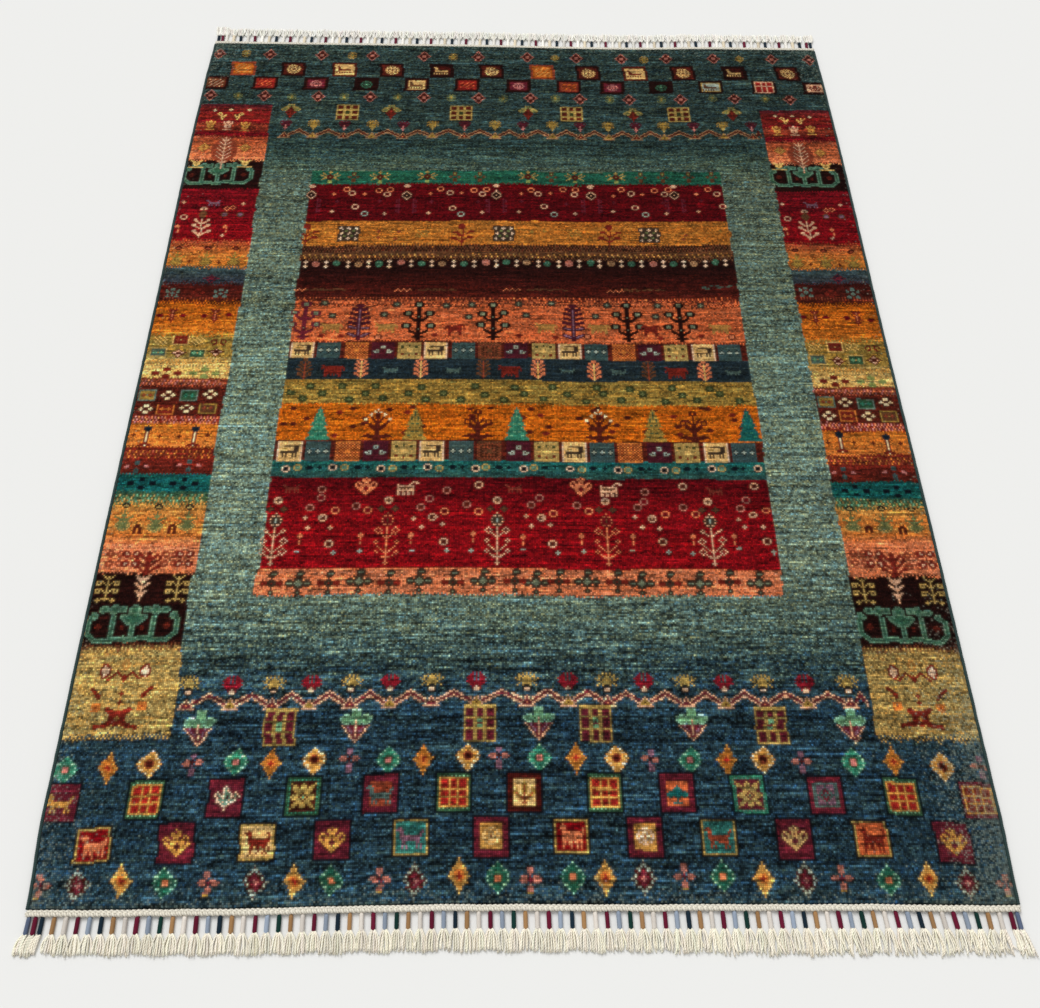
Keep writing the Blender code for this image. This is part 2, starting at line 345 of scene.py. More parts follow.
# Small pictures, a letter to each knot's yarn
CHARTS = {
    "sprout": (
        "....a.a.a....",
        "..a.a.a.a.a..",
        "..aa.aaa.aa..",
        "a.a.aaaaa.a.a",
        ".aa.aaaaa.aa.",
        "...aaaaaaa...",
        "..a.aaaaa.a..",
        ".a..abbba..a.",
        "....bbbbb....",
        "....bcccb....",
        "....bcccb....",
        ".....bbb.....",
    ),
    "crown": (
        "...a.a.a...",
        "..aa.a.aa..",
        ".aaa.a.aaa.",
        "aaaa.a.aaaa",
        ".aaa.a.aaa.",
        "aaaaaaaaaaa",
        ".aaaaaaaaa.",
        "..aaaaaaa..",
        "...aabaa...",
        "...abbba...",
        "....bbb....",
    ),
    "far_sprout": (
        "..a.a.a..",
        ".a.aaa.a.",
        "a.aaaaa.a",
        ".aa.a.aa.",
        "a.aaaaa.a",
        ".aaabaaa.",
        "a.aabaa.a",
        "..aabaa..",
        "...aba...",
        "...bbb...",
        "....b....",
        "....b....",
    ),
    "far_crown": (
        "...a.a...",
        ".aa.a.aa.",
        "aaaaaaaaa",
        "a.aaaaa.a",
        "aaaaaaaaa",
        ".aaaaaaa.",
        ".aaabaaa.",
        "..aabaa..",
        "...aba...",
        "...bbb...",
        "....b....",
        "....b....",
    ),
    "squiggle": (
        "..a...a...a.",
        ".a.a.a.a.a.a",
        "a...a...a...",
    ),
    "small_rosette": (
        "...aaa...",
        ".aa.a.aa.",
        ".a.aaa.a.",
        "aa.a.a.aa",
        "a.aabaa.a",
        "aa.a.a.aa",
        ".a.aaa.a.",
        ".aa.a.aa.",
        "...aaa...",
    ),
    "far_beast": (
        ".aa.........",
        ".aa.........",
        ".aa.........",
        ".aaa........",
        ".aaaaaaaaaa.",
        ".aaaaaaaaaa.",
        "............",
        "a.a.a.a.a.a.",
        "a.a.a.a.a.a.",
    ),
    "horse": (
        "..aaa....aaaa..",
        ".aaaaaaaaaaaaa.",
        ".a.aaaaaaaaa.a.",
        ".a.aaaaaaaaa.a.",
        "aa.aaaaaaaaa.aa",
        "...aaaaaaaaa...",
        "...aaa...aaa...",
        "...aa.....aa...",
        "...aa.....aa...",
        "...aa.....aa...",
    ),
    "long_beast": (
        "aa.......a",
        ".aaaaaaaaa",
        ".aaaaaaaa.",
        ".a.a..a.a.",
    ),
    "goat": (
        "...a..........",
        ".aaaa.......aa",
        "..aaa........a",
        "...aa........a",
        "...aaaaaaaaaaa",
        "...aaaaaaaaaaa",
        "...aaaaaaaaaa.",
        "...aaaaaaaaaa.",
        "...aa.aa.aa.a.",
        "...aa.aa..a.a.",
        "...a...a..a.a.",
        "...a...a..a.a.",
    ),
    "llama": (
        ".aa...........",
        "aaaa.........a",
        "..aa........aa",
        "..aa........a.",
        "..aaaaaaaaaaa.",
        "..aaaaaaaaaa..",
        "...aaaaaaaaa..",
        "...aa.....aa..",
        "...a.a....a.a.",
        "...a.a....a.a.",
    ),
    "kid": (
        "aa.......a.",
        ".aa.....a..",
        "..aaaaaaaa.",
        "..aaaaaaaa.",
        "..a.a..a.a.",
        "..a.a..a.a.",
    ),
    "ox": (
        "aa.............",
        ".aaaaaaaaaaaaa.",
        "aaaaaaaaaaaaaaa",
        "a.aaaaaaaaaaa.a",
        "..aaaaaaaaaaa.a",
        "..aaaaaaaaaaa..",
        "..aaa.a.a.aaa..",
        "..aa..a.a..aa..",
        "..aa.......aa..",
    ),
    "white_beast": (
        ".........aaa.",
        "........ab.aa",
        "a......ab....",
        "aaaaaaaaaa...",
        "abbbbbbbba...",
        "aabababaaa...",
        "aaaaaaaaaa...",
        "ab.ab.ab.a...",
        "aa.aa.aa.a...",
        "aa.aa.aa.a...",
    ),
    "palmette": (
        "......a......",
        "....aa.aa....",
        "....aaaaa....",
        ".aa..aaa..aa.",
        "a.aa.a.a.aa.a",
        "a..aaaaaaa..a",
        "aa.aaabaaa.aa",
        ".aaaabbbaaaa.",
        "..aaabbbaaa..",
        "...aaabaaa...",
        "....aaaaa....",
        ".....aaa.....",
        "......a......",
    ),
    "rosette": (
        "....a.a....",
        "..aa.a.aa..",
        ".a.aa.aa.a.",
        ".aa.aaa.aa.",
        "aa.aa.aa.aa",
        ".a.a.b.a.a.",
        "aa.aa.aa.aa",
        ".aa.aaa.aa.",
        ".a.aa.aa.a.",
        "..aa.a.aa..",
        "....a.a....",
    ),
    "star": (
        "a.....a.....a",
        ".aa..aaa..aa.",
        ".aaa.aaa.aaa.",
        "..aaaaaaaaa..",
        "...aaa.aaa...",
        ".aaaa.a.aaaa.",
        "aaaa.aba.aaaa",
        ".aaaa.a.aaaa.",
        "...aaa.aaa...",
        "..aaaaaaaaa..",
        ".aaa.aaa.aaa.",
        ".aa..aaa..aa.",
        "a.....a.....a",
    ),
    "leaf_flower": (
        "......a......",
        ".....aba.....",
        ".....aba.....",
        ".a..abbba..a.",
        "aba.abbba.aba",
        "acbaabcbaabca",
        ".acbabcbabca.",
        ".abbabbbabba.",
        "..aabababaa..",
        "....abbba....",
        ".....aaa.....",
        "......a......",
        "......a......",
    ),
    "tulip": (
        "......a......",
        ".....aaa.....",
        ".....aba.....",
        "..a..aba..a..",
        ".aa..aba..aa.",
        ".aba.aba.aba.",
        "..aba.b.aba..",
        "...abbbbba...",
        "....abbba....",
        "......b......",
        ".....bbb.....",
    ),
    "round_tree": (
        "......a......",
        ".....aaa.....",
        "....aaaaa....",
        "..aaaaaaaaa..",
        ".aaaaaaaaaaa.",
        ".aaaaaaaaaaa.",
        "..aa.aaa.aa..",
        "......a......",
        "......a......",
        "....aaaaa....",
    ),
    "hatch": (
        "a..a..a..",
        ".a..a..a.",
        "..a..a..a",
        "a..a..a..",
        ".a..a..a.",
        "..a..a..a",
        "a..a..a..",
    ),
    "curls": (
        ".aaa..aaa.",
        "a..a..a..a",
        "a..a..a..a",
        "..aa..aa..",
        ".aa....aa.",
    ),
    "figure": (
        "..a.a.a..",
        ".aaaaaaa.",
        "..aabaa..",
        "...aba...",
        ".a..a..a.",
        "..aabaa..",
        "...aba...",
        ".aaabaaa.",
        "a..aaa..a",
        "..aabaa..",
        "...aaa...",
        "....a....",
        "....a....",
    ),
    "gate": (
        "..aaa..",
        ".aaaaa.",
        ".aa.aa.",
        ".aa.aa.",
        ".aa.aa.",
        ".aa.aa.",
    ),
    "spray_left": (
        "...aa....",
        "..a..a...",
        "...a.a..a",
        "....aa.aa",
        ".....aaa.",
        ".....a.a.",
        ".....aa..",
        "......a..",
    ),
}
CHARTS["freckles"] = tuple(("a.b." * 4)[i % 4 : i % 4 + 11] for i in range(9))
CHARTS["spray_right"] = tuple(row[::-1] for row in CHARTS["spray_left"])

# Motifs, in knots from their own origin. A shape that starts with pair is drawn on both sides.
# columns: shape, part, dye letter, x, y, half width, half height (a line has its other end's x and y)
MOTIFS = {
    "small_gem": (
        ("diamond", "full", "a", 0, 0, 5.4, 6.6),
        ("diamond", "full", "b", 0, 0, 4.3, 5.3),
        ("dot", "full", "c", 0, 0, 1.3, 1.7),
    ),
    "pale_plant": (
        ("dot", "full", "b", 0, 15.4, 3.2, 3.6),
        ("pair_dot", "full", "b", 4.4, 12.8, 2.9, 2.4),
        ("dot", "beads", "a", 0, 15.4, 3.2, 3.6),
        ("pair_dot", "beads", "a", 4.4, 12.8, 2.9, 2.4),
        ("diamond", "full", "c", 0, 9.0, 4.0, 7.0),
        ("line", "thin", "d", 0, 3.0, 0, 12.0),
        ("pair_line", "thin", "d", 1.4, 6.0, 3.4, 9.0),
    ),
    "far_square": (
        ("box", "full", "a", 0, 0, 9.0, 8.3),
        ("box", "full", "b", 0, 0, 7.6, 6.9),
        ("box", "full", "c", 0, 0, 6.2, 5.6),
    ),
    "green_square": (
        ("box", "full", "a", 0, 0, 9.5, 10.3),
        ("box", "full", "b", 0, 0, 8.6, 9.4),
        ("box", "beads", "c", 0, 0, 7.7, 8.5),
        ("box", "full", "d", 0, 0, 6.4, 7.2),
    ),
    "sheet_square": (
        ("box", "full", "a", 0, 0, 9.3, 9.9),
        ("box", "full", "b", 0, 0, 8.3, 8.9),
        ("box", "full", "c", 0, 0, 7.3, 7.9),
    ),
    "gem": (
        ("diamond", "full", "a", 0, 0, 6.6, 8.0),
        ("diamond", "beads", "b", 0, 0, 6.6, 8.0),
        ("diamond", "full", "b", 0, 0, 4.7, 5.9),
        ("diamond", "full", "c", 0, 0, 3.5, 4.4),
        ("dot", "full", "d", 0, 0, 1.3, 1.5),
    ),
    "green_gem": (
        ("diamond", "full", "b", 0, 0, 6.8, 7.6),
        ("dot", "full", "b", 0, 0, 4.8, 5.0),
        ("diamond", "beads", "a", 0, 0, 6.8, 7.8),
        ("dot", "full", "c", 0, 0, 2.6, 2.8),
        ("dot", "full", "d", 0, 0, 1.7, 1.9),
    ),
    "slim_gem": (
        ("diamond", "full", "a", 0, 0, 5.0, 8.2),
        ("dot", "full", "a", 0, 0, 3.7, 4.4),
        ("diamond", "beads", "d", 0, 0, 5.0, 8.2),
        ("dot", "full", "b", 0, 0, 2.5, 2.9),
        ("dot", "full", "c", 0, 0, 1.1, 1.3),
    ),
    "clover": (
        ("pair_dot", "full", "a", 3.3, 0, 1.9, 1.9),
        ("dot", "full", "b", 0, 3.8, 1.8, 2.0),
        ("dot", "full", "b", 0, -3.8, 1.8, 2.0),
        ("dot", "full", "c", 0, 0, 1.3, 1.5),
        ("dot", "full", "d", 0, -6.0, 1.1, 0.9),
    ),
    "faint_gem": (
        ("dot", "beads", "a", 0, 0, 3.6, 4.4),
        ("dot", "full", "a", 0, 0, 2.0, 2.6),
        ("dot", "full", "b", 0, 0, 0.9, 1.2),
    ),
    "wine_square": (
        ("box", "full", "a", 0, 0, 9.5, 10.3),
        ("box", "full", "b", 0, 0, 8.6, 9.4),
        ("box", "full", "c", 0, 0, 5.8, 6.4),
    ),
    "lattice": (
        ("box", "edge", "a", 0, 0, 6.2, 6.8),
        ("diamond", "full", "a", 0, 0, 4.4, 5.0),
        ("diamond", "full", "b", 0, 0, 2.8, 3.3),
        ("dot", "full", "a", 0, 0, 1.1, 1.3),
    ),
    "gable": (
        ("triangle", "full", "a", 0, 0, 4.6, 6.6),
        ("triangle", "full", "b", 0, 1, 2.8, 4.0),
        ("dot", "full", "c", 0, 2, 0.8, 0.8),
    ),
    "club_plant": (
        ("wedge", "full", "e", 0, 0, 7.8, 9.8),
        ("wedge", "full", "c", 0, 1.6, 6.4, 7.6),
        ("dot", "full", "b", 0, 16.6, 3.0, 3.4),
        ("pair_dot", "full", "b", 5.0, 12.6, 3.5, 2.8),
        ("dot", "full", "a", 0, 16.4, 2.2, 2.6),
        ("pair_dot", "full", "a", 4.9, 12.4, 2.6, 2.0),
        ("box", "full", "a", 0, 12.6, 2.2, 2.6),
        ("line", "full", "e", 0, 3.0, 0, 11.6),
        ("pair_line", "thin", "d", 1.6, 4.6, 4.0, 8.6),
    ),
    "cross_flower": (
        ("box", "full", "a", 0, 0, 7.0, 0.5),
        ("box", "full", "a", 0, 0, 0.5, 7.0),
        ("pair_dot", "cased", "a", 5, 0, 2.5, 2.3),
        ("dot", "cased", "a", 0, 6, 2.5, 2.3),
        ("dot", "cased", "a", 0, -6, 2.1, 1.9),
        ("dot", "cased", "a", 0, 0, 3.5, 3.8),
        ("dot", "full", "a", 0, 0, 1.2, 1.6),
    ),
    "red_cross": (
        ("pair_dot", "full", "c", 4, 0, 2.6, 1.2),
        ("pair_dot", "full", "c", 5, 0, 1.2, 2.3),
        ("box", "full", "a", 0, 0, 0.5, 6.0),
        ("dot", "cased", "a", 0, 6, 2.5, 2.3),
        ("dot", "cased", "a", 0, -6, 1.9, 1.8),
        ("dot", "full", "a", 0, 0, 2.3, 2.8),
        ("dot", "full", "c", 0, 0, 0.9, 0.9),
    ),
    "life_tree": (
        ("line", "thin", "a", 0, 0, 0, 26),
        ("pair_line", "thin", "a", 0, 4, 4, 7),
        ("pair_line", "thin", "a", 0, 8, 5, 13),
        ("pair_line", "thin", "a", 0, 18, 4, 22),
        ("pair_dot", "beads", "a", 6, 9, 2.2, 2.2),
        ("pair_dot", "beads", "a", 6, 16, 2.2, 2.2),
        ("pair_dot", "beads", "a", 5, 23, 2.2, 2.2),
        ("dot", "full", "a", 0, 1, 1.0, 1.2),
        ("diamond", "full", "b", 0, 30, 4.6, 5.8),
        ("diamond", "beads", "a", 0, 30, 4.6, 5.8),
        ("dot", "full", "c", 0, 30, 0.9, 1.0),
    ),
    "tree_heads": (
        ("pair_dot", "full", "b", 4.0, 0, 2.1, 2.2),
        ("pair_dot", "full", "c", 4.0, 0, 1.0, 1.0),
        ("dot", "full", "a", 0, 6.0, 2.5, 2.2),
        ("dot", "full", "c", 0, 6.0, 1.4, 1.2),
    ),
    "ghost_tree": (
        ("pair_line", "thin", "d", 5.4, -18, 5.0, -4),
        ("pair_dot", "edge", "d", 6.0, -6, 1.5, 1.5),
        ("pair_dot", "edge", "d", 6.0, -11, 1.5, 1.5),
        ("pair_dot", "edge", "d", 6.0, -16, 1.5, 1.5),
        ("dot", "full", "a", 0, 0, 3.7, 4.2),
        ("dot", "beads", "b", 0, 0, 3.7, 4.2),
        ("dot", "full", "c", 0, 0, 2.4, 2.9),
        ("dot", "full", "b", 0, 0, 0.9, 0.9),
        ("dot", "cased", "b", 0, 9, 2.0, 1.5),
    ),
    "ring": (
        ("dot", "full", "a", 0, 0, 2.4, 2.3),
        ("dot", "full", "b", 0, 0, 1.5, 1.4),
    ),
    "big_ring": (
        ("dot", "full", "a", 0, 0, 2.9, 2.6),
        ("dot", "full", "b", 0, 0, 1.9, 1.6),
    ),
    "star_dot": (
        ("box", "full", "a", 0, 0, 1.1, 0.4),
        ("box", "full", "a", 0, 0, 0.4, 1.1),
    ),
    "double_ring": (
        ("dot", "full", "a", -2, 0, 2.1, 2.0),
        ("dot", "full", "a", 2, 1, 2.1, 2.0),
        ("dot", "full", "b", -2, 0, 1.0, 1.0),
        ("dot", "full", "b", 2, 1, 1.0, 1.0),
    ),
    "blob": (("dot", "full", "a", 0, 0, 2.3, 1.8),),
    "small_blob": (("dot", "full", "a", 0, 0, 1.5, 1.2),),
    "cased_blob": (
        ("dot", "cased", "a", 0, 0, 3.2, 2.6),
    ),
    "seed": (
        ("dot", "full", "a", 0, 1.4, 1.1, 2.2),
        ("dot", "full", "a", 0, -3.0, 0.9, 1.0),
    ),
    "dab": (("box", "full", "a", 0, 0, 1.6, 0.9),),
    "dash": (("box", "full", "a", 0, 0, 0.4, 1.6),),
    "oak": (
        ("line", "wide", "a", 0, 0, 0, 13),
        ("line", "full", "a", 0, 13, 0, 21),
        ("pair_line", "wide", "a", 0.6, 1.0, 5.6, 2.8),
        ("pair_line", "full", "a", 5.6, 3.4, 8.6, 2.0),
        ("pair_line", "thick", "a", 0.6, 7.0, 4.6, 11.0),
        ("pair_line", "full", "a", 4.6, 11.0, 6.6, 13.6),
        ("pair_line", "full", "a", 0.6, 11.0, 3.4, 16.6),
        ("pair_dot", "full", "b", 7.2, 15.6, 1.1, 1.3),
        ("pair_dot", "full", "b", 4.2, 18.8, 0.9, 1.3),
        ("dot", "full", "a", 0, 18.4, 2.0, 3.0),
        ("pair_dot", "full", "b", 1.8, 21.4, 0.9, 0.9),
        ("dot", "full", "b", 0, 23.4, 0.9, 1.2),
    ),
    "red_tree": (
        ("line", "wide", "a", 0, 0, 0, 12),
        ("line", "full", "a", 0, 12, 0, 20),
        ("pair_line", "wide", "a", 0.6, 1.0, 5.6, 2.8),
        ("pair_line", "full", "a", 5.6, 3.4, 8.6, 2.0),
        ("pair_line", "thick", "a", 0.6, 7.0, 4.8, 11.4),
        ("pair_dot", "full", "a", 6.6, 13.6, 2.2, 2.4),
        ("pair_dot", "full", "b", 6.6, 13.6, 1.0, 1.0),
        ("pair_line", "full", "a", 0.6, 12.0, 3.6, 16.0),
        ("dot", "full", "a", 0, 21.4, 2.5, 2.6),
        ("dot", "full", "b", 0, 21.4, 1.0, 1.0),
    ),
    "cypress": (
        ("triangle", "full", "a", 0, 0, 7.6, 13),
        ("triangle", "full", "a", 0, 5, 6.2, 13),
        ("triangle", "full", "a", 0, 11, 5.0, 12),
        ("triangle", "full", "a", 0, 16, 3.6, 9.8),
        ("pair_dot", "full", "b", 3.6, 3, 0.8, 1.0),
        ("pair_dot", "full", "b", 1.6, 6, 0.8, 1.0),
        ("pair_dot", "full", "b", 3.2, 9, 0.8, 1.0),
        ("pair_dot", "full", "b", 1.4, 12, 0.8, 1.0),
        ("pair_dot", "full", "b", 2.0, 16, 0.8, 1.0),
        ("dot", "full", "b", 0, 20, 0.8, 2.0),
    ),
    "leaf_tree": (
        ("pair_line", "full", "a", 0.4, 1.0, 3.6, 3.6),
        ("pair_line", "full", "a", 0.4, 4.0, 4.2, 7.0),
        ("pair_line", "full", "a", 0.4, 7.0, 4.0, 10.2),
        ("pair_line", "full", "a", 0.4, 10.0, 3.0, 13.0),
        ("line", "full", "b", 0, 0, 0, 14),
        ("dot", "full", "a", 0, 14.4, 1.3, 1.8),
    ),
    "branch_tree": (
        ("line", "wide", "a", 0, 0, 0, 29),
        ("pair_line", "full", "a", 0, 2, 4, 1),
        ("pair_line", "thick", "a", 0, 4, 5, 7),
        ("pair_line", "full", "a", 5, 7, 7, 11),
        ("pair_line", "thick", "a", 0, 15, 5, 19),
        ("pair_line", "full", "a", 5, 19, 7, 22),
        ("pair_dot", "cased", "a", 8, 12, 3.4, 2.9),
        ("pair_dot", "cased", "a", 7, 23, 3.3, 2.8),
        ("dot", "cased", "a", 0, 31, 3.3, 2.9),
        ("dot", "cased", "a", 0, 9, 2.2, 2.2),
        ("dot", "cased", "a", 0, 20, 2.2, 2.2),
    ),
    "fir": (
        ("line", "wide", "a", 0, 0, 0, 30),
        ("pair_line", "wide", "a", 0, 1, 6.6, 4),
        ("pair_line", "wide", "a", 0, 8, 6.4, 10),
        ("pair_line", "wide", "a", 0, 13, 6, 15),
        ("pair_line", "thick", "a", 0, 17, 6, 19),
        ("pair_line", "thick", "a", 0, 21, 5.4, 23),
        ("pair_line", "thick", "a", 0, 25, 4.6, 27),
        ("dot", "full", "a", 0, 30, 3.4, 1.7),
        ("line", "thin", "b", 0, 3, 0, 26),
        ("pair_line", "thin", "b", 2, 2, 6, 4),
        ("pair_line", "thin", "b", 2, 9, 6, 10),
    ),
    "sprig": (
        ("line", "full", "a", 0, 0, 0, 15),
        ("dot", "full", "a", 0, 17.4, 2.6, 2.9),
        ("pair_line", "full", "a", 0.5, 8.0, 4.4, 12.0),
        ("pair_dot", "full", "a", 5.4, 12.4, 2.4, 1.4),
        ("pair_line", "full", "a", 0.5, 3.0, 4.4, 6.8),
        ("pair_dot", "full", "a", 5.6, 7.0, 2.5, 1.5),
    ),
    "bead_pair": (
        ("dot", "full", "a", 0, 2, 1.2, 1.4),
        ("dot", "full", "b", 0, -2, 1.2, 1.4),
    ),
    "bead": (
        ("dot", "full", "a", 0, 0, 2.6, 2.5),
        ("pair_dot", "full", "b", 1.0, 1.0, 0.7, 0.7),
        ("dot", "full", "b", 0, -1, 0.7, 0.7),
    ),
    "hook_tile": (
        ("box", "full", "a", 0, 0, 7.9, 7.0),
        ("pair_box", "full", "c", 7.2, 0, 0.5, 7.0),
        ("box", "full", "b", -0.5, -0.5, 5.4, 0.9),
        ("box", "full", "b", 4, 2, 1.4, 2.0),
        ("box", "full", "b", 1, 4, 4.4, 0.5),
        ("pair_box", "full", "b", 4.0, -3, 0.5, 1.6),
        ("pair_box", "full", "b", 1.6, -3, 0.5, 1.2),
        ("box", "full", "d", -3, 2, 1.9, 0.4),
    ),
    "dot_tile": (
        ("box", "full", "a", 0, 0, 7.9, 7.0),
        ("box", "full", "d", 0, 4.2, 5.0, 0.6),
        ("pair_dot", "full", "c", 5, 0, 1.9, 2.1),
        ("dot", "full", "c", 0, 0, 1.9, 2.1),
        ("pair_dot", "full", "b", 5, 0, 1.1, 1.3),
        ("dot", "full", "b", 0, 0, 1.1, 1.3),
    ),
    "freckle_tile": (
        ("box", "full", "a", 0, 0, 7.9, 7.0),
        ("box", "beads", "b", 0, 0, 7.0, 6.2),
        ("box", "beads", "c", 0, 0, 5.2, 4.6),
        ("box", "beads", "b", 0, 0, 3.4, 3.0),
        ("pair_dot", "full", "c", 2.0, 2.0, 0.9, 0.9),
        ("pair_dot", "full", "c", 2.0, -2.0, 0.9, 0.9),
    ),
    "flower_tile": (
        ("box", "full", "a", 0, 0, 7.9, 7.0),
        ("pair_dot", "full", "b", 3.6, -1.4, 1.6, 1.6),
        ("dot", "full", "b", 0, 3.0, 1.8, 1.6),
        ("dot", "full", "c", 0, 3.0, 0.8, 0.7),
        ("pair_dot", "full", "c", 3.6, -1.4, 0.7, 0.7),
        ("pair_dot", "full", "b", 5.6, -1.4, 0.6, 0.6),
    ),
    "bud_tile": (
        ("box", "full", "a", 0, 0, 7.9, 7.0),
        ("pair_dot", "full", "b", 4.6, 3.4, 1.4, 1.1),
        ("pair_dot", "full", "c", 4.6, -3.6, 1.4, 1.2),
        ("dot", "full", "d", 0, 0, 2.1, 1.8),
        ("dot", "full", "b", 0, 4.6, 1.0, 0.9),
        ("pair_dot", "full", "d", 5.0, 0, 0.9, 0.8),
        ("dot", "full", "c", 0, -4.4, 1.0, 0.9),
    ),
    "checker": (
        ("box", "full", "a", 0, 0, 7.6, 7.6),
        ("pair_dot", "full", "b", 5.2, 5, 1.1, 1.1),
        ("pair_dot", "full", "b", 5.2, -5, 1.1, 1.1),
        ("dot", "full", "b", 0, 5, 1.1, 1.1),
        ("dot", "full", "b", 0, -5, 1.1, 1.1),
        ("pair_dot", "full", "b", 5.2, 0, 1.1, 1.1),
        ("dot", "full", "b", 0, 0, 1.1, 1.1),
        ("pair_dot", "full", "c", 2.6, 2.5, 1.1, 1.1),
        ("pair_dot", "full", "c", 2.6, -2.5, 1.1, 1.1),
    ),
    "bloom": (
        ("pair_line", "thin", "b", 3, 0, 7, 1.6),
        ("pair_line", "thin", "b", 3, -1, 6, -2.6),
        ("pair_line", "thin", "b", 2, 1, 5, 3.6),
        ("dot", "full", "a", 0, 0, 2.6, 3.0),
        ("dot", "full", "b", 0, 5, 1.2, 1.4),
        ("dot", "full", "c", 0, -5, 1.6, 1.5),
        ("dot", "full", "c", 0, 0, 0.8, 0.8),
    ),
    "dim_bloom": (
        ("dot", "full", "a", 0, 3.4, 2.0, 2.6),
        ("dot", "full", "a", 0, -3.4, 1.6, 2.2),
        ("pair_dot", "full", "a", 3.0, 0, 1.3, 1.1),
        ("dot", "full", "b", 0, 3.4, 0.9, 1.1),
    ),
    "scroll": (
        ("pair_line", "cased", "a", 0, 0, 8.4, 1.2),
        ("pair_line", "cased", "a", 8.4, 1.2, 10.4, 0.4),
        ("pair_line", "cased", "a", 10.4, 0.4, 19.0, 0.0),
        ("pair_line", "cased", "a", 19.0, 0.0, 23.6, 4.0),
        ("pair_line", "cased", "a", 23.6, 4.0, 24.4, 11.0),
        ("pair_line", "cased", "a", 24.4, 11.0, 22.0, 16.4),
        ("pair_line", "cased", "a", 22.0, 16.4, 20.6, 14.4),
        ("pair_line", "cased", "a", 11.4, 1.0, 11.4, 14.0),
        ("pair_dot", "cased", "a", 11.4, 18.4, 3.0, 3.0),
        ("pair_dot", "cased", "a", 6.6, 18.6, 2.6, 2.2),
        ("pair_dot", "cased", "a", 16.6, 18.4, 2.8, 2.2),
        ("dot", "cased", "a", 0, 12.6, 5.8, 4.4),
        ("pair_dot", "cased", "a", 5.0, 13.6, 2.6, 2.2),
        ("dot", "cased", "a", 0, 18.0, 3.4, 3.2),
        ("line", "cased", "a", 0, 3.0, 0, 9.0),
        ("pair_dot", "full", "c", 18.4, 8.6, 1.7, 2.4),
        ("pair_dot", "full", "c", 5.6, 6.6, 1.4, 1.6),
    ),
    "pale_tree": (
        ("line", "thin", "a", 0, 1, 0, 16),
        ("pair_line", "thin", "a", 0, 3, 3, 1),
        ("pair_line", "thin", "a", 0, 5, 3, 8),
        ("pair_line", "thin", "a", 0, 10, 3, 13),
        ("pair_dot", "edge", "a", 5, 7, 1.3, 1.6),
        ("pair_dot", "edge", "a", 5, 12, 1.3, 1.6),
        ("pair_line", "thin", "a", 0, 14, 3, 17),
        ("pair_dot", "full", "a", 4, 1, 1.0, 1.0),
    ),
    "pink_tree": (
        ("line", "full", "a", 0, 0, 0, 17),
        ("pair_line", "full", "a", 0, 3.0, 2.6, 6.0),
        ("pair_line", "full", "a", 0, 7.6, 3.4, 11.0),
        ("pair_line", "full", "a", 0, 12.0, 3.8, 16.0),
        ("line", "thick", "b", 0, 17, 0, 31),
        ("pair_line", "full", "b", 0, 17.0, 5.0, 21.4),
        ("pair_line", "full", "b", 0, 21.0, 5.4, 25.8),
        ("pair_line", "full", "b", 0, 25.0, 4.6, 29.6),
        ("pair_dot", "edge", "b", 6.4, 22.4, 1.4, 1.6),
        ("pair_dot", "edge", "b", 6.4, 27.6, 1.4, 1.6),
    ),
    "ring_block": (
        ("pair_dot", "cased", "a", 2.9, 3.2, 2.5, 2.4),
        ("pair_dot", "cased", "a", 2.9, -3.2, 2.5, 2.4),
        ("dot", "full", "a", 0, 0, 0.9, 0.9),
    ),
    "green_tree": (
        ("dot", "full", "a", 0, 3.0, 4.4, 3.2),
        ("dot", "beads", "b", 0, 3.0, 4.4, 3.2),
        ("line", "full", "a", 0, 6.0, 0, 13.0),
        ("pair_line", "full", "a", 0, 5.4, 4.6, 8.4),
        ("pair_line", "thin", "a", 0, 8.4, 2.4, 11.4),
        ("dot", "full", "c", 0, 16.4, 2.5, 1.8),
        ("dot", "full", "d", 0, 16.4, 1.2, 0.8),
    ),
    "column": (
        ("line", "thick", "a", 0, 0, 0, 10),
        ("line", "thin", "b", 0, 0, 0, 10),
        ("pair_line", "full", "a", 0.5, 1.4, 3.2, 0.0),
        ("dot", "full", "c", 0, 12.8, 2.7, 2.2),
    ),
    "small_square": (
        ("box", "full", "a", 0, 0, 5.9, 4.9),
        ("box", "full", "b", 0, 0, 4.9, 3.9),
        ("pair_dot", "full", "c", 2.0, 0, 1.5, 1.2),
        ("dot", "full", "a", 0, 0, 0.9, 0.7),
    ),
    "four_dots": (
        ("pair_dot", "full", "a", 3.0, 0, 1.3, 1.1),
        ("dot", "full", "a", 0, 2.6, 1.3, 1.2),
        ("dot", "full", "a", 0, -2.6, 1.3, 1.2),
    ),
    "dark_dots": (
        ("dot", "full", "a", 0, 3, 1.9, 1.7),
        ("dot", "full", "a", 0, -3, 2.1, 1.9),
        ("pair_dot", "full", "a", 6.4, 0, 2.2, 1.7),
    ),
    "grey_dots": (
        ("dot", "full", "a", 0, 3, 1.8, 1.7),
        ("dot", "full", "a", 0, -2.6, 1.9, 1.7),
        ("pair_dot", "full", "b", 5.6, 0.4, 1.6, 1.1),
    ),
    "five_dots": (
        ("pair_dot", "full", "a", 3.6, 1.8, 1.4, 1.3),
        ("pair_dot", "full", "a", 3.0, -2.2, 1.4, 1.2),
        ("dot", "full", "a", 0, 3.6, 1.2, 1.1),
        ("dot", "full", "a", 0, 0, 1.1, 1.1),
    ),
    "wide_dots": (
        ("pair_dot", "full", "a", 7.0, 0, 2.6, 2.0),
        ("dot", "full", "a", 0, 3.0, 2.8, 2.0),
        ("dot", "full", "a", 0, -2.8, 2.8, 2.0),
    ),
    "cross_tile": (
        ("diamond", "full", "a", 0, 0, 5.0, 4.8),
        ("pair_dot", "full", "b", 2.2, 0, 1.1, 1.0),
        ("dot", "full", "b", 0, 2.2, 1.1, 1.0),
